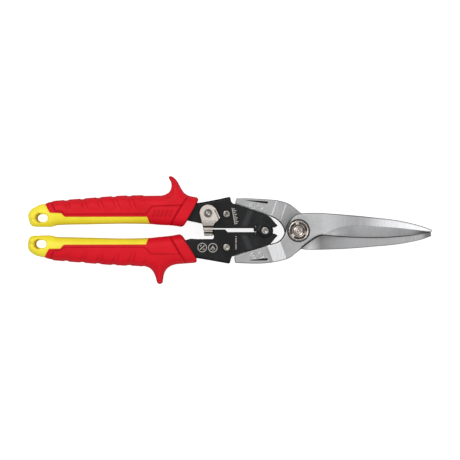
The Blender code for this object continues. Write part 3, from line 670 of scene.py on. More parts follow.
# How light the metal is along X, on each jaw's outer face, on the inner face, and on the bevel; these hold a
# painted highlight towards the tip, a painted shadow under the heel and painted shade on the bevel.
OUTER_PAINTED_HIGHLIGHT_TONES = ((-30.0, -8.0, 2.0, 8.0, 18.0, 30.0, 42.0, 50.0, 55.0, 65.0, 75.0, 85.0),
               (0.43, 0.42, 0.455, 0.48, 0.565, 0.40, 0.32, 0.36, 0.46, 0.63, 0.70, 0.76))
INNER_PAINTED_SHADOW_TONES = ((-20.0, 4.0, 9.0, 12.5, 16.5, 24.0, 40.0), (0.44, 0.47, 0.64, 0.48, 0.24, 0.29, 0.345))
BEVEL_PAINTED_SHADE_TONES = ((21.0, 24.0, 28.0, 31.0, 35.0, 40.0, 45.0, 60.0, 75.0, 85.0),
               (0.40, 0.31, 0.24, 0.25, 0.33, 0.40, 0.43, 0.40, 0.36, 0.50))
# The ramps' lightness: lighter ground finish, with a painted highlight on the outer ramp.
OUTER_RAMP_TONE = 0.79
INNER_RAMP_TONE = 0.54


def along_ramp(points, ramp):
    """How far each point lies along the ramp, as a share of its run."""
    return (points - ramp[0]) @ RAMP_WAY / ramp[1]


def ramp_line(share, ramp):
    """A straight line across the jaw at a share of the ramp's run."""
    across = 16.0 * np.array((-RAMP_WAY[1], RAMP_WAY[0]))
    foot = ramp[0] + RAMP_WAY * share * ramp[1]
    return straight([foot - across, foot + across], 0.8)


def groove_depth(points, groove):
    """A wedge-shaped forging groove, which widens and deepens to its round end."""
    start, end = (np.array(p) for p in groove)
    length = np.linalg.norm(end - start)
    along = (end - start) / length
    off = points - start
    share = off @ along / length
    run = np.clip(share, 0.0, 1.0)
    past = np.clip((share - 1.0) * length, 0.0, None)
    across = np.hypot(off @ np.array((-along[1], along[0])), past)
    return np.where(share > 0, GROOVE_DEPTH * run ** 0.7 * soft(across, 0.1 + 0.62 * run, 1.3), 0.0)


def emblem_height(points, centres):
    """Raised forging marks: a ring round a small bar, the bars turned different ways."""
    lift = np.zeros(len(points))
    for number, centre in enumerate(centres):
        off = points - centre
        turn = math.radians(40.0 + 75.0 * number)
        u = off @ np.array((math.cos(turn), math.sin(turn)))
        v = off @ np.array((-math.sin(turn), math.cos(turn)))
        bar = np.maximum(0.4 * np.abs(u), np.abs(v))
        ring = np.abs(np.hypot(*off.T) - EMBLEM_R)
        lift = np.maximum(lift, soft(np.minimum(ring, bar), EMBLEM_LINE, 1.6))
    return EMBLEM_RISE * lift


def jaw(name, shape, pin, pin_r, seat, matrix=None):
    """One forged jaw with its ramp, ground blade, tongue, and forging marks."""
    back, heel = curve(shape["back"]), curve(shape["heel"])
    tip = straight([shape["back"][-1], shape["edge"][0]], 0.3)
    edge = curve(shape["edge"], 0.5)
    arm_end = straight(shape["arm_end"], 0.4)
    eye = arc(pin, TONGUE_R, -75.0, -260.0, 30)
    inner = curve([eye[-1], *TONGUE_INNER, shape["back"][0]])
    outline = loop_of(back, tip, edge, heel, arm_end, eye, inner)
    rim = closed(outline)
    bore, hole = circle(JAW_PIVOT, BORE_R, 0.4), circle(pin, pin_r, 0.4)
    shoulder = np.array(shape["shoulder"])
    step = straight(shoulder, 0.5)
    rounded = np.vstack((back, tip[-1:]))
    forged_rim = np.vstack((heel, arm_end[:-8]))
    boss_edge = back[back[:, 0] > -12.0]
    bevel = curve(BEVEL, 0.5)
    ramp = shape["ramp"]

    def details(points):
        return emblem_height(points, shape["emblems"]) - groove_depth(points, shape["groove"])

    def from_pivot(points):
        return np.hypot(*(points - JAW_PIVOT).T)

    def on_tongue(points):
        x, y = points.T
        return (x < TONGUE_FRONT) & (y > np.interp(x, *shoulder.T))

    def on_ramp(points):
        share = along_ramp(points, ramp)
        return eased(share * 14.0 + 0.5) * eased((1.0 - share) * 14.0 + 0.5)

    def down_bevel(points):
        """How far each point lies down the bevel, from 0 at its top to 1 at the cutting edge."""
        x, y = points.T
        head, foot = np.interp(x, *bevel.T), np.interp(x, *edge[::-1].T)
        return np.where(x > BEVEL[0][0], np.clip((head - y) / np.maximum(head - foot, 0.3), 0.0, 1.0), 0.0)

    def rims(points, radius):
        fall = rounding(away(points, rounded), radius) + rounding(away(points, forged_rim), radius)
        return fall + np.where(on_tongue(points), 0.0, rounding(away(points, step), 0.35))

    def top(points):
        x = points[:, 0]
        level = PIVOT_FACE + (ARM_FACE - PIVOT_FACE) * ramped(along_ramp(points, ramp))
        level = level - (PIVOT_FACE - TIP_FACE) * np.clip((x - TAPER[0]) / TAPER[1], 0.0, 1.0)
        down = down_bevel(points)
        depth = (level - EDGE_FACE) * eased((x - BEVEL[0][0]) / BEVEL_RUN)
        level = level - depth * (0.9 * down + 0.1 * down ** 2) - rims(points, OUTER_RIM) + details(points)
        if seat:
            past = from_pivot(points) - seat[0]
            level = np.where(past < -0.05, seat[1], level - rounding(np.abs(past), 0.3))
        return np.where(on_tongue(points), TONGUE_FACE, level)

    def bottom(points):
        level = SHEAR_GAP - (SHEAR_GAP + ARM_FACE) * ramped(along_ramp(points, ramp))
        return np.where(on_tongue(points), -TONGUE_FACE, level + rims(points, INNER_RIM) - details(points))

    def ground(points, upper):
        return np.maximum(on_ramp(points), eased((points[:, 0] - 16.0) / 12.0))

    def tone_and_painted_light(points, upper):
        """How light the metal is, with painted light: brightest on the outer ramp and towards the tip of the
        outer face, where a painted highlight lies, with painted highlights on the raised marks and the boss's
        rim and painted shade on the bevel.
        """
        x = points[:, 0]
        # Painted highlight on the raised marks.
        raised = 0.9 * emblem_height(points, shape["emblems"])
        if not upper:
            # Darker over the boss behind the ramp on the inner face.
            boss = eased(-along_ramp(points, ramp) * 10.0 + 0.5) * eased((4.0 - x) / 6.0)
            shade = np.interp(x, *INNER_PAINTED_SHADOW_TONES) - 0.11 * boss + raised
            return shade + (INNER_RAMP_TONE - shade) * on_ramp(points)
        shade = np.interp(x, *OUTER_PAINTED_HIGHLIGHT_TONES)
        down = down_bevel(points)
        # Painted shade on the bevel, darkest towards the cutting edge.
        shade = shade + (np.interp(x, *BEVEL_PAINTED_SHADE_TONES) - shade) * eased(down * 60.0)
        shade = shade - 0.1 * eased((down - 0.8) / 0.2) + raised
        # Painted highlight along the boss's edge.
        boss_rim_highlight = soft(np.abs(away(points, boss_edge) - 1.35), 0.4, 1.4)
        shade = shade + 0.17 * boss_rim_highlight * eased((8.0 - x) / 6.0)
        # Painted shade just past the ramp's foot.
        foot = along_ramp(points, ramp) - 1.0
        shade = shade - 0.09 * eased(foot * 14.0 + 0.5) * (1.0 - eased((foot - 0.05) / 0.3))
        return shade + (OUTER_RAMP_TONE - shade) * on_ramp(points)

    def scale(points, upper):
        """Near-black marks: darker in the forging grooves and at the tip, painted shade along the rims and
        the crescent behind the pivot, painted shadow along the cutting edge and under the heel, and a painted
        shadow ring round the nut's seat.
        """
        x, y = points.T
        crescent = back[back[:, 0] < (-6.0 if upper else -9.0)]
        covers = [np.clip(groove_depth(points, shape["groove"]) / 0.5, 0.0, 0.95),
                  0.6 * linear(away(points, rim), 0.5, 1.1),
                  0.97 * soft(away(points, crescent), 0.45, 2.0)]
        if upper:
            # Painted shadow along the cutting edge.
            covers.append(0.92 * linear(away(points, edge), 0.42, 1.8) * eased((93.0 - x) / 10.0))
            width = 0.25 + 0.45 * np.sin(np.clip(x / 20.0, 0.0, 1.0) * math.pi)
            # Painted shadow under the heel.
            covers.append(0.95 * soft(away(points, heel[heel[:, 0] > -2.0]), width, 2.7))
            covers.append(0.5 * eased((x - 92.0) / 4.0) * eased(0.2 - y))
        else:
            covers.append(0.5 * eased((x - 91.0) / 5.0))
        if seat:
            # Painted shadow in the gap round the nut.
            covers.append(0.98 * linear(np.abs(from_pivot(points) - seat[0]), 0.25, 1.6))
        return np.maximum.reduce(covers)

    def keen(points, upper):
        """The line where the bevel starts."""
        return (away(points, bevel[1:-1]) < 0.02).astype(float) * upper

    ramp_ends = [ramp_line(0.0, ramp), ramp_line(1.0, ramp)]
    rows = [(rim, [0.12, *rim_rows(OUTER_RIM)[1:]]), (closed(bore), [0.3, 0.8]), (closed(hole), [0.4]),
            (bevel, [0.35, 0.8]), (step, [0.09, 0.35]), *[(line, [0.25, 0.5, 0.8]) for line in ramp_ends]]
    creases = [bevel[1:-1], beside(step, 0.05), beside(step, -0.05), *ramp_ends]
    if seat:
        seat_line = closed(circle(JAW_PIVOT, seat[0], 0.4))
        creases += [seat_line, closed(circle(JAW_PIVOT, seat[0] - 0.08, 0.4))]
        rows.append((seat_line, [0.3, 0.6]))
    return relief(name, [outline, bore, hole], top, bottom, 0.9, rows, creases, [(EMBLEM_BOX, 0.27)],
                  {"ground": ground, "tone_and_painted_light": tone_and_painted_light, "scale": scale, "keen": keen}, matrix)


# ---- handle frames ----

TANG_END = -172.0
STOP_EDGE = 2.25                  # the noses' inner edges; they meet when the snips are wide open
EYE_R = 4.8                       # the upper handle's eye round the handle pivot
EYE_GAP = 0.35                    # between that eye and the lower handle's hollow round it
BEND_R = 1.9                      # outer radius of the folded channel
WEB = 2.1                         # thickness of the channel's outer wall
CUT_R = 0.35                      # rounding of the plates' cut edges
HOLE_R = 0.25                     # and of the rims of their holes
# The painted sheen band across each plate stands in for a reflection.
SHEEN_AT = 41.6                  # where the paler band on each plate starts, behind the jaws' pivot
SHEEN_LEAN = 0.42
SHEEN_HALF = 2.1
BUSH_BORE = 2.4                   # bore of the upper eye, the lugs and the bush
LATCH_BORE = 1.8
PIN_BORE = 2.2                    # the holes for the arm pins
LUG_R = 6.2
LUG_LEVELS = (1.7, 2.9)
UPPER_SPRING_HOLE = (-31.4, 3.1)
LOWER_SPRING_HOLE = (-31.6, -2.7)
NOSE = [(-20.6, 9.8), (-18.6, 7.4), (-16.9, 5.3), (-15.5, 3.8), (-16.7, 2.7), (-17.9, STOP_EDGE)]
UPPER_FRAME = {
    "fold": [(TANG_END, 17.5), (-92.0, 18.6), (-75.2, 20.4), (-66.6, 21.8), (-58.0, 23.5), (-51.4, 24.95)],
    "notch": [(-51.4, 24.95), (-50.5, 24.7), (-50.1, 23.8)],
    "step": [(-50.1, 23.8), (-49.7, 21.6), (-48.6, 20.2), (-46.6, 19.6)],
    "edge": [(-46.6, 19.6), (-41.2, 17.8), (-30.0, 14.0), (-24.9, 12.2), (-20.6, 9.8)],
}
LOWER_FRAME = {
    "fold": [(TANG_END, 17.5), (-92.0, 18.6), (-75.2, 20.4), (-66.6, 21.8), (-58.0, 23.3), (-51.4, 24.45)],
    "notch": [(-51.4, 24.45), (-50.7, 23.8), (-50.3, 22.8)],
    "step": [(-50.3, 22.8), (-49.7, 20.4), (-48.6, 18.9), (-46.6, 18.1)],
    "edge": [(-46.6, 18.1), (-42.1, 16.6), (-30.0, 13.2), (-24.2, 11.3), (-20.6, 9.8)],
}


def frame_runs(shape):
    """The outer runs of a side plate, from the tang's end to the nose, on the side of +Y."""
    return [curve(shape["fold"]), straight(shape["notch"], 0.4), curve(shape["step"], 0.4),
            curve(shape["edge"]), curve(NOSE, 0.4)]


def upper_frame_loop():
    """Outline of the upper handle's side plates, with the eye round the handle pivot."""
    reach = math.degrees(math.asin(STOP_EDGE / EYE_R))
    eye = arc(HANDLE_PIVOT, EYE_R, reach, -171.0, 40)
    slot_end = curve([(-30.6, -0.75), (-32.4, -0.75), (-33.0, -0.1), (-33.0, 0.6), (-33.0, 1.3),
                      (-33.5, 1.75)], 0.3)
    slot = straight([(-33.5, 1.75), (-62.9, 1.75), (-64.0, 4.6), (-71.3, 5.1), (-80.0, 6.9), (-92.0, 9.6),
                     (TANG_END, 10.5), (TANG_END, 17.5)])
    return loop_of(*frame_runs(UPPER_FRAME), eye, slot_end[1:], slot)


def lower_frame_loop():
    """Outline of the lower handle's side plates, hollowed round the upper handle's eye."""
    around = EYE_R + EYE_GAP
    start = -math.degrees(math.asin(STOP_EDGE / around))
    end = -180.0 + math.degrees(math.asin(1.1 / around))
    hollow = arc(HANDLE_PIVOT, around, start, end, 40)
    slot = straight([(-52.3, -1.1), (-54.3, 0.9), (-63.2, 0.9), (-63.5, 0.6), (-63.5, -3.3), (-62.6, -3.3),
                     (-62.6, -5.2), (-63.0, -5.9), (-63.8, -6.3), (-75.0, -6.3), (-80.0, -6.0), (-92.0, -9.6),
                     (TANG_END, -10.5), (TANG_END, -17.5)])
    outer = [flipped(line) for line in frame_runs(LOWER_FRAME)]
    return loop_of(*outer, hollow, straight([hollow[-1], slot[0]]), slot)


def channel(name, loop, fold, holes):
    """A folded channel: two side plates joined by an outer wall with rounded bends."""
    rim, hole_rims = closed(loop), [closed(hole) for hole in holes]
    bend = np.vstack((fold, fold[-1:] + (0.6, 0.0)))
    side = 1 if fold[0][1] > 0 else -1

    def face(points):
        falls = [rounding(away(points, bend), BEND_R), rounding(away(points, rim), CUT_R)]
        falls += [rounding(away(points, line), HOLE_R) for line in hole_rims]
        return PLATE_OUT - np.maximum.reduce(falls)

    # Painted shade: deep black along the plate's rims and round its holes.
    def edge(points, upper):
        near = [away(points, rim), *[away(points, line) - 0.9 for line in hole_rims]]
        return 0.85 * soft(np.minimum.reduce(near), 0.6)

    def painted_sheen(points, upper):
        """Painted sheen: a slanted paler band across the plate, and two short painted highlights on the rim
        of the pivot's eye.
        """
        x, y = points[:, 0], np.abs(points[:, 1])
        band = 0.75 * soft(np.abs(x - SHEEN_LEAN * y + SHEEN_AT), SHEEN_HALF) * eased((y - 2.6) / 1.2)
        off = points - HANDLE_PIVOT
        ring = soft(np.abs(np.hypot(*off.T) - EYE_R + 0.15), 0.3)
        return np.maximum(band, ring * eased(2.0 * np.abs(off[:, 0]) / EYE_R - 0.6))

    rows = [(rim, rim_rows(CUT_R, 3)), (bend, rim_rows(BEND_R, 6))]
    rows += [(line, [0.1, HOLE_R, 0.7]) for line in hole_rims]
    piece = relief(name, [loop, *holes], face, lambda points: -face(points), 1.3, rows,
                   marks={"edge": edge, "painted_sheen": painted_sheen})
    inset = beside(fold, -side * WEB)
    rear, far, near = TANG_END - 3.0, 40.0 * side, -12.0 * side
    ends = [(-49.8, far), (-10.0, far), (-10.0, near), (rear, near)]
    hollow = np.vstack(([(rear, inset[0][1])], inset[:-1], ends))
    cut(piece, slab(name + "_hollow", [hollow], -PLATE_IN, PLATE_IN))
    return piece


def lugs(piece):
    """Join the lower handle's two inner lugs, stepped in from its plates, to its frame."""
    rear, front = HANDLE_PIVOT[0] - LUG_R, HANDLE_PIVOT[0] + LUG_R
    foot = [(rear, -9.1), (front - 2.6, -9.1), (front - 0.6, -6.6)]
    eye = np.vstack((arc(HANDLE_PIVOT, LUG_R, 0.0, 180.0, 48), foot))
    bore = circle(HANDLE_PIVOT, BUSH_BORE, 0.4)
    riser = np.array([(rear, -5.7), *foot, (front - 0.6, -5.7)])
    for sign in (1, -1):
        for name, loops, levels in (("riser", [riser], (LUG_LEVELS[0] + 0.4, PLATE_IN + 0.5)),
                                    ("lug", [eye, bore], LUG_LEVELS)):
            cut(piece, slab(name, loops, *sorted(sign * level for level in levels)), "UNION")


# ---- pins, rivets, nut, bolt and washers ----

def below(level, profile):
    """Radii and levels from radii and depths below a level."""
    return [(radius, level - depth) for radius, depth in profile]


# A set head from its middle out, as shares of its radius, of its dimple's depth and of its rise.
DOME = ((0.0, 1.0, 0.0), (0.16, 0.96, 0.0), (0.3, 0.75, 0.0), (0.42, 0.35, 0.0), (0.52, 0.06, 0.0),
        (0.62, 0.0, 0.0), (0.75, 0.0, 0.08), (0.87, 0.0, 0.26), (0.95, 0.0, 0.5), (0.99, 0.0, 0.78),
        (1.0, 0.0, 1.0))


def dome(radius, inner, outer, dimple):
    """Profile of a set rivet head, from its middle out: a shallow dimple in a rounded rim."""
    return [(radius * share, outer - dimple * dip - (outer - inner) * fall) for share, dip, fall in DOME]


def rivet(node, shank_r, dimple, dimple_dark):
    """A rivet with a dimpled head at each end on the node's levels."""
    low, high = levels_of(node)
    radius = radius_of(node)
    inner = PLATE_OUT + GAP
    head = dome(radius, inner, high, dimple)
    foot = [(r, -level) for r, level in dome(radius, inner, -low, dimple)]

    # Darker in the dimple, and painted shade round the head's edge.
    def in_dimple(points):
        share = np.hypot(*points[:, :2].T) / radius
        worn = dimple_dark * (1.0 - eased((share - 0.35) / 0.3))
        return np.maximum(worn, 0.75 * eased((share - 0.88) / 0.08))

    profile = head + [(shank_r, inner), (shank_r, -inner)] + foot[::-1]
    return lathe(node + "_steel", middle_of(node), profile, 72, mark=in_dimple)


def latch_rivet():
    """The latch's rivet: a low dimpled head over the latch and a flat one inside the handle."""
    low, high = levels_of("latch_rivet")
    base = LATCH_FACE + GAP
    outer = radius_of("latch_rivet")
    button = [(0.0, 0.4), (0.45, 0.37), (0.85, 0.22), (1.15, 0.05), (1.5, 0.0), (1.8, 0.1), (2.0, 0.35),
              (2.1, 0.6), (2.35, 0.6), (2.5, 0.4), (outer - 0.35, 0.35), (outer - 0.1, 0.5), (outer, 0.75)]
    button = [*below(high, button), (outer, base)]
    shank = [(1.5, base), (1.5, 2.9), (2.6, 2.9), (2.6, low + 0.3), (2.3, low), (0.0, low)]

    # Painted shade in the ring groove round the button.
    def in_groove(points):
        radius = np.hypot(*points[:, :2].T)
        return 0.9 * linear(np.abs(radius - 2.22), 0.35) * (points[:, 2] > base)

    return lathe("latch_rivet_steel", LATCH_PIVOT, button + shank, 96, mark=in_groove)


NUT_POCKETS = 3
POCKET_START = -6.0               # degrees
POCKET_SPAN = 92.0
POCKET_R = (4.7, 6.5)             # inner and outer radius
POCKET_DEPTH = 1.4


def pivot_nut():
    """Round nut: a smooth rim round three curved wrench pockets."""
    low, high = levels_of("pivot_nut")
    outer = radius_of("pivot_nut")
    bore = 4.3

    def pocket(radius, angles, level):
        if level < high - 0.2:
            return np.zeros(len(angles))
        turn = (np.degrees(angles) - POCKET_START) % (360.0 / NUT_POCKETS)
        return -POCKET_DEPTH * (turn < POCKET_SPAN) * (POCKET_R[0] + 0.02 < radius < POCKET_R[1] - 0.02)

    near, far = POCKET_R
    inner_wall = [(bore, 0.35), (bore + 0.12, 0.1), (bore + 0.3, 0.0)]
    face = [(radius, 0.0) for radius in (near, near + 0.06, 5.2, 5.6, 6.0, far - 0.06, far)]
    rim = [(outer - 0.9, 0.0), (outer - 0.55, 0.08), (outer - 0.25, 0.3), (outer - 0.06, 0.65), (outer, 1.0)]
    profile = [(bore, low), *below(high, inner_wall + face + rim), (outer, low + 0.3), (outer - 0.3, low)]

    def in_pocket(points):
        radius = np.hypot(*points[:, :2].T)
        depth = np.clip((high - points[:, 2]) / POCKET_DEPTH, 0.0, 1.0)
        return (0.9 + 0.07 * (radius > 6.2)) * depth * (radius < outer - 1.0) * (radius > bore + 0.35)

    return lathe("pivot_nut_plated", JAW_PIVOT, profile, 240, ring=True, shape=pocket, mark=in_pocket)


def pivot_bolt():
    """Shoulder bolt: a centre-drilled threaded end in the nut and a broad head underneath."""
    low, high = levels_of("pivot_bolt")
    head_r = radius_of("pivot_bolt")
    thread_r = 4.0
    end = [(0.0, 1.0), (0.5, 0.85), (1.3, 0.25), (1.6, 0.1), (2.4, 0.14), (2.7, 0.3), (3.0, 0.12), (3.5, 0.0),
           (3.85, 0.25), (thread_r, 0.5)]
    for turn in range(5):
        end += [(thread_r, 0.6 + 0.5 * turn), (thread_r - 0.22, 0.85 + 0.5 * turn)]
    shank = [(thread_r, 4.0), (5.0, 4.0), (5.0, -6.8), (head_r - 0.6, -6.8), (head_r - 0.15, -7.0),
             (head_r, -7.4), (head_r, low + 1.0), (head_r - 0.3, low + 0.35), (head_r - 1.0, low)]
    socket = [(4.4, low), (4.2, low + 0.2), (3.4, low + 0.5), (1.2, low + 0.6), (0.0, low + 0.6)]

    # Painted shade in the ring groove and down the bore round the thread.
    def in_groove(points):
        radius = np.hypot(*points[:, :2].T)
        ring = 0.8 * linear(np.abs(radius - 2.7), 0.4)
        return np.maximum(ring, 0.7 * (radius > 3.6)) * (points[:, 2] > 4.0)

    return lathe("pivot_bolt_plated", JAW_PIVOT, below(high, end) + shank + socket, 144, mark=in_groove)


def washer(node, bore):
    """A flat ring with slightly broken edges, on the node's size."""
    low, high = levels_of(node)
    outer = radius_of(node)
    edge = min(0.12, (high - low) / 4)
    profile = [(bore, high - edge), (bore + edge, high), (outer - edge, high), (outer, high - edge),
               (outer, low + edge), (outer - edge, low), (bore + edge, low), (bore, low + edge)]
    return lathe(node + "_ring", middle_of(node), profile, 96, ring=True)


COIL_R = 4.6
COIL_RISE = 0.9                   # from the middle level to the coil's ends
WIRE_R = 0.5


def spring():
    """Torsion spring round the handle pivot; its legs bend into the plates' holes."""
    x, y = HANDLE_PIVOT
    turns = np.radians(np.linspace(246.0, 837.0, 120))
    coil = np.column_stack((x + COIL_R * np.cos(turns), y + COIL_R * np.sin(turns),
                            np.linspace(-COIL_RISE, COIL_RISE, 120)))
    reach, rise = PLATE_OUT - 0.5, COIL_RISE
    lower_leg = [(*LOWER_SPRING_HOLE, -reach), (*LOWER_SPRING_HOLE, -rise - 0.3), (-31.3, -2.8, -rise),
                 (-30.6, -3.0, -rise), (-29.0, -3.6, -rise)]
    upper_leg = [(-28.8, 3.9, rise), (-30.4, 3.4, rise), (-31.1, 3.2, rise), (*UPPER_SPRING_HOLE, rise + 0.3),
                 (*UPPER_SPRING_HOLE, reach)]
    path = np.vstack((lower_leg, coil, upper_leg)) * MM + (0.0, 0.0, SHEAR_PLANE)
    wire = bpy.data.curves.new("spring_wire", "CURVE")
    wire.dimensions = "3D"
    wire.bevel_depth = WIRE_R * MM
    wire.bevel_resolution = 3
    wire.use_fill_caps = True
    line = wire.splines.new("POLY")
    line.points.add(len(path) - 1)
    for point, place in zip(line.points, path):
        point.co = (*place, 1.0)
    holder = new_object("spring_wire", wire)
    mesh = evaluated_mesh(holder)
    bpy.data.objects.remove(holder, do_unlink=True)
    bpy.data.curves.remove(wire)
    shade(mesh, math.radians(40.0))
    return new_object("handle_spring_wire", mesh)


# ---- latch ----

LATCH_BEND = 7.3                  # Y of the bend between the eye and the thumb tail
LATCH_FACE = 7.4
TAIL_FACE = 7.7
TAIL_END = -3.9
FLANGE = [(-61.0, 15.6), (-58.1, 9.3)]
FLANGE_HALF = 0.72
TAIL_RIBS = ((2.9, 0.55, 0.8), (0.15, 0.3, 0.3), (-1.6, 0.5, 0.8), (-3.45, 0.3, 0.5))   # Y, half width, depth


def latch():
    """Thumb latch: a flat eye, a raised flange at its side, and a ribbed tail with a hook under it."""
    head = arc(LATCH_PIVOT, 6.5, 182.0, 40.0, 40)
    side = straight([head[-1], (-60.8, 15.8), (-57.7, 9.1), (-58.9, 8.7)], 0.4)
    waist = curve([(-58.9, 8.7), (-59.6, 7.3), (-62.1, 5.0), (-62.8, 3.0), (-63.15, 0.2),
                   (-63.55, TAIL_END)], 0.4)
    foot = straight([(-63.55, TAIL_END), (-69.5, TAIL_END)], 0.4)
    left = curve([(-69.5, TAIL_END), (-70.0, -0.3), (-70.6, 2.9), (-72.0, 8.0), (-73.1, 12.3)], 0.5)
    outline = loop_of(head, side, waist, foot, left)
    hole = circle(LATCH_PIVOT, LATCH_BORE, 0.3)
    rim, hole_rim = closed(outline), closed(hole)
    flange = straight(FLANGE, 0.4)
    bend_line = straight([(-74.0, LATCH_BEND), (-57.0, LATCH_BEND)], 0.5)
    low, high = levels_of("latch")

    def top(points):
        y = points[:, 1]
        level = LATCH_FACE + (TAIL_FACE - LATCH_FACE) * eased((LATCH_BEND - y) / 0.9)
        level = level - 0.12 * soft(np.abs(y - LATCH_BEND), 0.5, 1.0)
        on_flange = eased((FLANGE_HALF - away(points, flange)) / 0.25 + 0.5)
        level = level + (high - LATCH_FACE) * on_flange * eased((y - 8.2) / 0.8)
        for place, half, depth in TAIL_RIBS:
            level = level - depth * soft(np.abs(y - place), half, 1.45)
        return level - rounding(away(points, rim), 0.4) - rounding(away(points, hole_rim), 0.3)

    def bottom(points):
        under = levels_of("latch_spring_washer")[1] + GAP
        return under + 0.3 * eased((LATCH_BEND - points[:, 1]) / 0.9) + rounding(away(points, rim), 0.2)

    def dark_and_painted_shade(points, upper):
        """Painted shade: darker over the tail below the bend, in the tail's grooves, along the bend and the
        rim, and in the gap beside the flange.
        """
        x, y = points.T
        darks = [(0.42 - 0.3 * eased((2.4 - y) / 0.5)) * eased((LATCH_BEND - y) / 0.8)
                 + 0.3 * soft(np.abs(y - LATCH_BEND + 0.3), 0.5, 1.0)]
        darks.append(0.55 * linear(away(points, rim), 0.45, 1.2) * eased(away(points, flange) / 0.5 - 1.0))
        for place, half, depth in TAIL_RIBS:
            darks.append(min(1.5 * depth, 0.95) * soft(np.abs(y - place), half))
        inside = (x < np.interp(y, (9.3, 15.6), (-58.1, -61.0))) & (y > 8.4) & (y < 15.8)
        darks.append(0.85 * inside * soft(np.abs(away(points, flange) - 0.98), 0.22, 1.4))
        return np.maximum.reduce(darks) * upper

    rows = [(rim, rim_rows(0.4, 4)), (hole_rim, [0.1, 0.3]), (bend_line, [0.0001, 0.25, 0.5]),
            (flange, [0.2, 0.4, 0.6, FLANGE_HALF, 0.84, 1.05])]
    for place, half, _ in TAIL_RIBS:
        groove_line = straight([(-71.5, place), (-62.0, place)], 0.4)
        rows.append((groove_line, [0.001, half * 0.45, half * 0.95, half * 1.45]))
    piece = relief("latch_plated", [outline, hole], top, bottom, 0.55, rows, marks={"dark_and_painted_shade": dark_and_painted_shade})
    hook = np.array([(-65.6, -3.85), (-63.9, -3.85), (-63.9, -2.9), (-65.6, -2.9)])
    cut(piece, slab("hook", [hook], low, 7.2), "UNION")
    return piece


# ---- grips ----

# Each grip is drawn on the side of +Y; the lower one is turned over about the X axis.
UPPER_GRIP = {
    "butt": [(-187.4, 20.0), (-191.8, 19.1), (-194.6, 17.8), (-197.6, 16.0), (-199.5, 13.9), (-200.2, 11.4),
             (-200.0, 8.8), (-199.3, 6.4), (-198.4, 4.4), (-196.6, 3.1), (-193.7, 2.85)],
    "outer": [(-187.4, 20.0), (-184.6, 21.1), (-174.6, 22.2), (-162.3, 23.2), (-149.9, 24.2), (-137.8, 25.1),
              (-131.3, 25.5), (-118.6, 25.8), (-101.4, 26.0)],
    "horn_rear": [(-101.4, 26.0), (-98.2, 27.0), (-95.5, 28.9), (-94.2, 31.8), (-94.3, 35.6), (-95.8, 38.6),
                  (-96.1, 39.9), (-94.6, 40.6)],
    "horn_front": [(-94.6, 40.6), (-92.7, 39.7), (-90.2, 37.3), (-88.5, 34.5), (-86.4, 30.5), (-84.3, 27.8),
                   (-81.1, 25.9), (-77.9, 25.2), (-75.3, 24.7)],
    "front": [(-75.3, 24.7), (-74.3, 23.6), (-75.0, 21.1), (-83.2, 6.4), (-85.4, 3.4), (-87.0, 2.8)],
    "inner": [(-87.0, 2.8), (-92.9, 3.7), (-102.5, 4.2), (-109.7, 4.8), (-130.0, 5.1), (-156.4, 4.6),
              (-170.4, 4.4), (-179.3, 3.9), (-182.6, 2.9), (-188.0, 2.8), (-193.7, 2.85)],
    "seam": [(-187.4, 20.0), (-183.3, 13.2), (-174.9, 12.9), (-172.4, 10.2), (-111.6, 10.3), (-109.7, 4.8)],
    "panel": [(-183.6, 26.0), (-182.5, 21.8), (-179.3, 14.6), (-174.5, 14.2), (-172.2, 12.2), (-112.4, 12.4),
              (-108.2, 18.1), (-86.3, 18.9)],
    "collar": [(-94.8, 2.0), (-94.1, 4.6), (-88.2, 15.5), (-82.2, 24.6), (-81.0, 27.0)],
    "hole": ((-189.3, 9.3), 8.8, 5.8),
    "marks": [((x, 11.0), (x + 1.6, 14.4)) for x in (-107.5, -104.4, -101.3, -98.2, -95.1)],
}
LOWER_GRIP = {
    "butt": [(-187.9, 20.0), (-193.2, 18.9), (-196.6, 17.3), (-199.3, 14.9), (-200.3, 12.6), (-200.35, 9.4),
             (-199.9, 6.6), (-198.9, 4.8), (-197.0, 3.9), (-193.7, 3.75)],
    "outer": [(-187.9, 20.0), (-184.6, 21.1), (-174.6, 22.2), (-162.3, 23.2), (-149.9, 24.2), (-140.0, 25.0),
              (-130.0, 25.5), (-119.6, 25.8), (-114.3, 26.3)],
    "horn_rear": [(-114.3, 26.3), (-110.5, 27.6), (-107.9, 30.0), (-105.9, 34.1), (-105.0, 37.6),
                  (-104.2, 39.2), (-102.6, 39.75)],
    "horn_front": [(-102.6, 39.75), (-100.8, 38.9), (-100.3, 36.7), (-99.4, 31.9), (-97.2, 28.2),
                   (-93.4, 25.8), (-90.2, 25.0), (-83.0, 24.4), (-76.6, 23.9)],
    "front": [(-76.6, 23.9), (-75.4, 23.0), (-76.0, 20.1), (-84.3, 6.5), (-86.6, 3.4), (-88.2, 2.7)],
    "inner": [(-88.2, 2.7), (-94.5, 3.8), (-102.5, 4.6), (-110.8, 5.4), (-130.0, 5.8), (-156.0, 5.2),
              (-170.0, 4.9), (-179.5, 4.6), (-182.8, 3.7), (-188.0, 3.6), (-193.7, 3.75)],
    "seam": [(-187.9, 20.0), (-184.0, 13.5), (-175.6, 13.4), (-173.0, 10.5), (-112.4, 10.3), (-110.8, 5.4)],
    "panel": [(-183.9, 26.0), (-183.0, 21.8), (-180.4, 15.1), (-175.1, 14.7), (-172.7, 12.6), (-113.6, 12.4),
              (-108.6, 17.4), (-87.3, 17.5)],
    "collar": [(-95.4, 2.0), (-94.6, 4.6), (-89.0, 14.6), (-83.2, 23.9), (-82.0, 26.0)],
    "hole": ((-190.3, 10.0), 9.0, 5.9),
    "marks": [],
}
SCALLOP_EDGES = (-183.2, -171.0, -158.6, -146.4, -134.6, -123.0)
SCALLOP_END = -111.0
SCALLOP_SLANT = 0.45              # how far each edge leans towards the tips per millimetre inwards
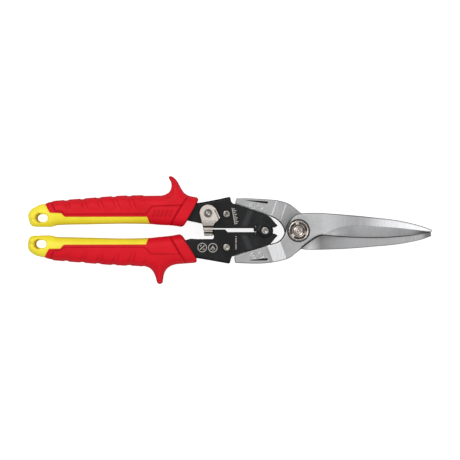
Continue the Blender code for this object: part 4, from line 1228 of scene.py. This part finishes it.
SCALLOP_DEPTH = 0.7
PANEL_RISE = 0.7
RIB_RISE = 0.4
SIDE_ROUND = 9.3                  # distance from the outline over which a grip's side is rounded
ROUND_POWER = 2.4                 # above 2, the section is squarer than an ellipse
SEAM_GAP = 0.02                   # from the seam to each of the two pieces that meet there
SOCKET = [(TANG_END, 10.2), (TANG_END, 17.8), (-92.0, 18.9), (-70.0, 21.7), (-70.0, 4.1), (-80.0, 5.6),
          (-92.0, 9.3)]
OUTLINE_ROWS = [0.06, 0.2, 0.45, 0.8, 1.25, 1.8, 2.5]


def scallop(points):
    """Height of the finger pads, from 0 to 1: each starts with a step and falls away before the next."""
    x, y = points.T
    place = x + SCALLOP_SLANT * (y - 24.0)
    lift = np.zeros(len(points))
    for start, end in zip(SCALLOP_EDGES, (*SCALLOP_EDGES[1:], SCALLOP_END)):
        share = (place - start) / (end - start)
        lift = np.maximum(lift, eased(share * 13.0 + 0.5) * (1.0 - eased((share - 0.66) / 0.14)))
    return lift


def behind_panel_end(x):
    """1 along the scallops, easing to 0 in front of them."""
    return eased((SCALLOP_END + 1.0 - x) / 6.0)


def scalloped(shape):
    """The grip's outer edge with the small steps of its scallops."""
    outer = curve(shape["outer"], 0.5)
    x = outer[:, 0]
    bite = 0.5 * scallop(outer) * eased((x + 186.0) / 3.0) * behind_panel_end(x)
    return outer + np.column_stack((np.zeros(len(outer)), bite))


def grip_form(shape):
    """The grip's full rounded form, as a function of place."""
    lines = [np.vstack((scalloped(shape), curve(shape["horn_rear"], 0.5)[1:])),
             np.vstack((curve(shape["horn_front"], 0.5), np.array(shape["front"][0]) + (9.0, -0.6))),
             np.vstack((np.array(shape["front"][-1]) + (14.0, -1.6), curve(shape["inner"], 0.5))),
             curve(shape["butt"], 0.5)]

    def form(points):
        x, y = points.T
        near = sum(np.maximum(away(points, line), 1e-4) ** -4.0 for line in lines) ** -0.25
        left = 1.0 - np.clip(near / SIDE_ROUND, 0.0, 1.0)
        section = (1.0 - left ** ROUND_POWER) ** (1 / ROUND_POWER)
        return section * (GRIP_HALF - 0.75 - 1.5 * eased((-172.0 - x) / 26.0) - 1.6 * eased((y - 23.0) / 9.0))

    return form


def stadium(centre, length, width):
    """A slot with round ends."""
    x, y = centre
    run, half = (length - width) / 2, width / 2
    return loop_of(np.array([(x, y - half)]), arc((x + run, y), half, -90.0, 90.0, 20),
                   np.array([(x, y + half)]), arc((x - run, y), half, 90.0, 270.0, 20))


def soft_grip(name, shape, matrix):
    """Red outer grip: rear scallops, raised main panel, thumb horn and front collar."""
    form = grip_form(shape)
    seam = beside(cornered(shape["seam"]), SEAM_GAP)
    inner = curve(shape["inner"], 0.5)
    inner = inner[inner[:, 0] > shape["seam"][-1][0] + 0.1]
    front = curve(shape["front"], 0.5)
    free = [scalloped(shape), curve(shape["horn_rear"], 0.5), curve(shape["horn_front"], 0.5), front, inner]
    outline = loop_of(*free, seam[::-1])
    free_rim = np.vstack(free)
    panel, collar = cornered(shape["panel"]), curve(shape["collar"], 0.5)
    ribs = [np.array(rib) for rib in shape["marks"]]

    def past_panel_edge(points):
        x, y = points.T
        return np.where(y > np.interp(x, *panel.T), 1.0, -1.0) * away(points, panel)

    def top(points):
        x, y = points.T
        on_panel = eased(past_panel_edge(points) / 0.9 + 0.5)
        ahead = eased((x - np.interp(y, *collar.T[::-1])) / 0.8)
        dips = (1.0 - scallop(points)) * eased((y - 13.2) / 6.0) * behind_panel_end(x)
        raised = PANEL_RISE * np.maximum(on_panel, ahead) - SCALLOP_DEPTH * dips * on_panel
        for rib in ribs:
            raised = raised + RIB_RISE * soft(away(points, rib), 0.45)
        raised = raised - 0.55 * soft(away(points, collar), 0.75, 1.25)
        rim = rounding(away(points, seam), 0.3) + rounding(away(points, front), 0.8)
        full = form(points)
        return full + raised * eased(full / 3.0) - rim

    # Painted shade and shadow: below the panel's step, along the free outline, in the collar's groove, at the
    # scallops' steps and round the raised marks.
    def groove(points, upper):
        x, y = points.T
        step = scallop(points)
        # Strength of the painted shadow below the panel's step.
        foot = 0.55 * (1.0 + 0.6 * eased((-175.0 - x) / 4.0))
        darks = [foot * soft(np.abs(past_panel_edge(points) + 0.3), 0.45),
                 0.55 * linear(away(points, free_rim), 0.9, 1.1),
                 0.85 * linear(away(points, collar), 0.7, 1.3),
                 1.04 * step * (1.0 - step) * eased((y - 14.5) / 4.0) * behind_panel_end(x)]
        darks += [0.6 * soft(np.abs(away(points, rib) - 0.6), 0.3, 1.4) for rib in ribs]
        return np.maximum.reduce(darks)

    rows = [(closed(outline), OUTLINE_ROWS), (panel, [0.15, 0.3, 0.7]), (collar, [0.001, 0.3, 0.6, 0.95])]
    for start in SCALLOP_EDGES:
        line = [(start - SCALLOP_SLANT * (y - 24.0), y) for y in np.arange(12.0, 27.0, 0.6)]
        rows.append((np.array(line), [0.001, 0.4, 0.8, 1.2]))
    fine = [((-110.0, 9.6, -92.0, 16.2), 0.3)] if ribs else []
    piece = relief(name, [outline], top, lambda points: -top(points), 0.75, rows,
                   [panel, beside(panel, 0.45), beside(panel, -0.45)], fine, {"groove": groove}, matrix)
    socket = np.array(SOCKET) * (1.0, matrix[1][1])
    cut(piece, slab("socket", [socket], -PLATE_OUT - GAP, PLATE_OUT + GAP))
    return piece


def hard_core(name, shape, matrix):
    """Yellow hard core where it shows: the butt with its lanyard hole, and the inner flank."""
    form = grip_form(shape)
    seam = beside(cornered(shape["seam"]), -SEAM_GAP)
    inner = curve(shape["inner"], 0.5)
    inner = inner[inner[:, 0] < shape["seam"][-1][0] - 0.1]
    outline = loop_of(seam, inner, curve(shape["butt"], 0.5)[::-1])
    hole = stadium(*shape["hole"])
    rim, hole_rim = closed(outline), closed(hole)
    hole_x, hole_y = shape["hole"][0]
    crease_line = straight([(hole_x - 5.2, hole_y - 0.4), (hole_x - 12.0, hole_y - 1.4)], 0.6)

    def beside_hole(points, length, width):
        x, y = points.T
        return np.hypot((x - hole_x + 2.6) / length, (y - hole_y) / width)

    def top(points):
        fall = rounding(away(points, seam), 0.3) + rounding(away(points, hole_rim), 1.1)
        flare = 2.6 * eased(1.15 - beside_hole(points, 4.6, 4.2))
        return form(points) - fall - flare - 0.3 * soft(away(points, crease_line), 0.8, 1.0)

    # Painted shade: in the lanyard hole's flare and its far wall, along the crease, along the inner flank and
    # round the outline.
    def groove(points, upper):
        x = points[:, 0]
        return np.maximum.reduce([
            0.4 * eased(1.2 - beside_hole(points, 3.6, 3.6)),
            0.5 * linear(away(points, crease_line), 0.7),
            0.9 * soft(away(points, hole_rim), 1.2, 1.3) * eased((hole_x - x - 0.4) / 1.6),
            0.75 * linear(away(points, inner), 0.7, 1.5) * eased((x + 182.0) / 3.0),
            0.3 * linear(away(points, rim), 0.8, 1.1)])

    rows = [(rim, OUTLINE_ROWS), (hole_rim, rim_rows(1.1, 6)), (crease_line, [0.001, 0.4, 0.8])]
    return relief(name, [outline, hole], top, lambda points: -top(points), 0.75, rows,
                  marks={"groove": groove}, matrix=matrix)


# ---- printed marks ----

INK_LEVELS = (-0.02, 0.035)       # below and above the plate's face
SIGNS = ((-71.1, -12.5), (-63.3, -12.7))


def bar(start, end, width):
    """Outline of a straight bar."""
    a, b = np.array(start, float), np.array(end, float)
    across = np.array((a[1] - b[1], b[0] - a[0])) / np.linalg.norm(b - a) * width / 2
    return np.array([a - across, b - across, b + across, a + across])


def print_on(name, loops):
    """Generic printed marks on the face of a handle's upper side plate."""
    return slab(name, loops, PLATE_OUT + INK_LEVELS[0], PLATE_OUT + INK_LEVELS[1])


def upper_print():
    """A plain graduated scale with a slanted spine."""
    loops = [bar((-49.1, 16.8), (-46.9, 4.6), 0.6)]
    for number in range(9):
        y = 5.2 + 1.35 * number
        x = -46.4 - 0.18 * (y - 5.0)
        loops.append(bar((x, y), (x + (2.2 if number % 2 else 1.3), y + 0.2), 0.6))
    return print_on("upper_plate_print", loops)


def lower_print():
    """Two ringed pictograms, a crossed bar and an arrowhead, and a row of dashes."""
    loops = []
    for centre in SIGNS:
        loops += [circle(centre, 3.45, 0.3), circle(centre, 2.9, 0.3)]
    x, y = SIGNS[0]
    loops.append(bar((x - 1.7, y - 1.5), (x + 1.7, y + 1.5), 0.75))
    loops += [bar((x + a, y + b), (x + a + 0.9, y + b + 0.9), 0.7) for a, b in ((-1.5, 0.9), (0.6, -1.8))]
    arrow = [(-1.9, -1.1), (-1.2, -1.4), (0.0, 0.4), (1.2, -1.4), (1.9, -1.1), (0.0, 1.7)]
    x, y = SIGNS[1]
    loops += [np.array(arrow) + SIGNS[1], bar((x - 0.7, y - 1.7), (x + 0.7, y - 1.7), 0.5)]
    for number in range(7):
        y = -4.2 - 1.5 * number
        loops.append(bar((-46.2, y), (-46.2, y - (0.95 if number % 3 else 0.6)), 0.95))
    return print_on("lower_plate_print", loops)


# ---- camera, light and floor ----

def set_stage():
    """The camera straight above the middle of the snips, the lights, the sky and the floor."""
    low, high = CAD_BOX
    middle = (low + high) / 2
    camera = new_object("camera", bpy.data.cameras.new("camera"))
    camera.location = (middle.x, middle.y, 1.112)
    camera.data.sensor_width = 36.0
    camera.data.lens = 116.2
    bpy.context.scene.camera = camera

    def soft_light(name, place, target, size, power):
        light = bpy.data.lights.new(name, "AREA")
        light.shape = "RECTANGLE"
        light.size, light.size_y = size
        light.energy = power
        item = new_object(name, light)
        item.location = place
        item.rotation_euler = (Vector(target) - Vector(place)).to_track_quat("-Z", "Y").to_euler()
        item.visible_camera = False

    soft_light("key_light", (-0.55, 0.75, 1.1), (-0.05, 0.0, 0.0), (0.9, 0.6), 7.0)
    soft_light("fill_light", (0.75, -0.5, 1.0), (0.0, 0.0, 0.0), (0.8, 0.6), 4.0)
    soft_light("tip_light", (0.42, 0.12, 1.45), (0.05, 0.0, 0.0), (0.35, 0.5), 1.0)

    world = bpy.data.worlds.new("studio")
    bpy.context.scene.world = world
    world.use_nodes = True
    tree = world.node_tree
    up = add(tree, "SeparateXYZ", _0=add(tree, "TexCoord").outputs["Generated"]).outputs[2]
    sky = add(tree, "ValToRGB", Fac=up)
    sky.color_ramp.interpolation = "EASE"
    horizon, zenith = sky.color_ramp.elements
    horizon.position, horizon.color = 0.10, (0.06, 0.06, 0.065, 1.0)
    zenith.position, zenith.color = 0.85, (1.0, 1.0, 1.0, 1.0)
    background = tree.nodes["Background"]
    tree.links.new(sky.outputs[0], background.inputs["Color"])
    background.inputs["Strength"].default_value = 0.85

    floor_mesh = bpy.data.meshes.new("floor")
    corners = [(-3.0, -3.0, 0.0), (3.0, -3.0, 0.0), (3.0, 3.0, 0.0), (-3.0, 3.0, 0.0)]
    floor_mesh.from_pydata(corners, [], [(0, 1, 2, 3)])
    floor = new_object("floor", floor_mesh)
    floor.location.z = low.z - 0.0002
    paper = Finish("paper", Roughness=0.9, Specular_IOR_Level=0.0, Base_Color=colour(0.4),
                   Emission_Color=colour(1.0), Emission_Strength=0.85)
    floor.data.materials.append(paper.material)
    floor.visible_glossy = False
    bpy.context.scene.view_settings.view_transform = "Standard"


# ---- assembly ----

HALF_TURN = Matrix.Rotation(math.pi, 4, "X")
AS_DRAWN = Matrix.Identity(4)
TURNED_OVER = Matrix.Scale(-1.0, 4, (0.0, 1.0, 0.0))


def build():
    """Make every visible piece and set it on its body."""
    rear_pin = (UPPER_ARM_PIN[0], -UPPER_ARM_PIN[1])
    front = jaw("front_jaw_steel", FRONT_JAW, LOWER_ARM_PIN, PIN_BORE, NUT_SEAT)
    rear = jaw("rear_jaw_steel", REAR_JAW, rear_pin, PIN_BORE + 0.15, None, HALF_TURN)
    dress(front, "front_jaw", "front_jaw", STEEL)
    dress(rear, "rear_jaw", "rear_jaw", STEEL)

    upper_holes = [circle(HANDLE_PIVOT, BUSH_BORE, 0.4), circle(UPPER_ARM_PIN, PIN_BORE, 0.4),
                   circle(LATCH_PIVOT, LATCH_BORE, 0.3), circle(UPPER_SPRING_HOLE, 0.6, 0.25)]
    lower_holes = [circle(LOWER_ARM_PIN, PIN_BORE, 0.4), circle(LOWER_SPRING_HOLE, 0.6, 0.25)]
    upper = channel("upper_frame_steel", upper_frame_loop(), curve(UPPER_FRAME["fold"]), upper_holes)
    lower = channel("lower_frame_steel", lower_frame_loop(), flipped(curve(LOWER_FRAME["fold"])), lower_holes)
    lugs(lower)
    dress(upper, "upper_handle", "upper_handle_frame", BLACK)
    dress(lower, "lower_handle", "lower_handle_frame", BLACK)
    dress(upper_print(), "upper_handle", None, INK)
    dress(lower_print(), "lower_handle", None, INK)

    for node, body, shank_r, dimple, dimple_dark in (("handle_pivot_rivet", "lower_handle", 2.1, 0.5, 0.3),
                                                 ("lower_arm_pin", "lower_handle", 1.9, 0.4, 0.25),
                                                 ("upper_arm_pin", "upper_handle", 1.9, 0.6, 0.6)):
        dress(rivet(node, shank_r, dimple, dimple_dark), body, node, RIVET)
    dress(latch_rivet(), "upper_handle", "latch_rivet", RIVET)
    dress(pivot_nut(), "front_jaw", "pivot_nut", NUT_NICKEL)
    dress(pivot_bolt(), "front_jaw", "pivot_bolt", NUT_NICKEL)
    for node, body, bore in (("pivot_spring_washer", "front_jaw", 4.3),
                             ("pivot_head_washer", "front_jaw", BORE_R),
                             ("handle_pivot_bush", "lower_handle", BUSH_BORE),
                             ("latch_spring_washer", "upper_handle", LATCH_BORE)):
        dress(washer(node, bore), body, node, SPRING)
    coil = spring()
    coil.data.materials.append(SPRING)
    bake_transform(coil)
    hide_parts("handle_spring")
    dress(latch(), "latch", "latch", NICKEL)

    for label, shape, matrix in (("upper", UPPER_GRIP, AS_DRAWN), ("lower", LOWER_GRIP, TURNED_OVER)):
        body = label + "_handle"
        dress(soft_grip(label + "_soft_grip", shape, matrix), body, label + "_grip", RED)
        core = hard_core(label + "_hard_core", shape, matrix)
        dress(core, body, label + "_grip_core", YELLOW)


build()
set_stage()
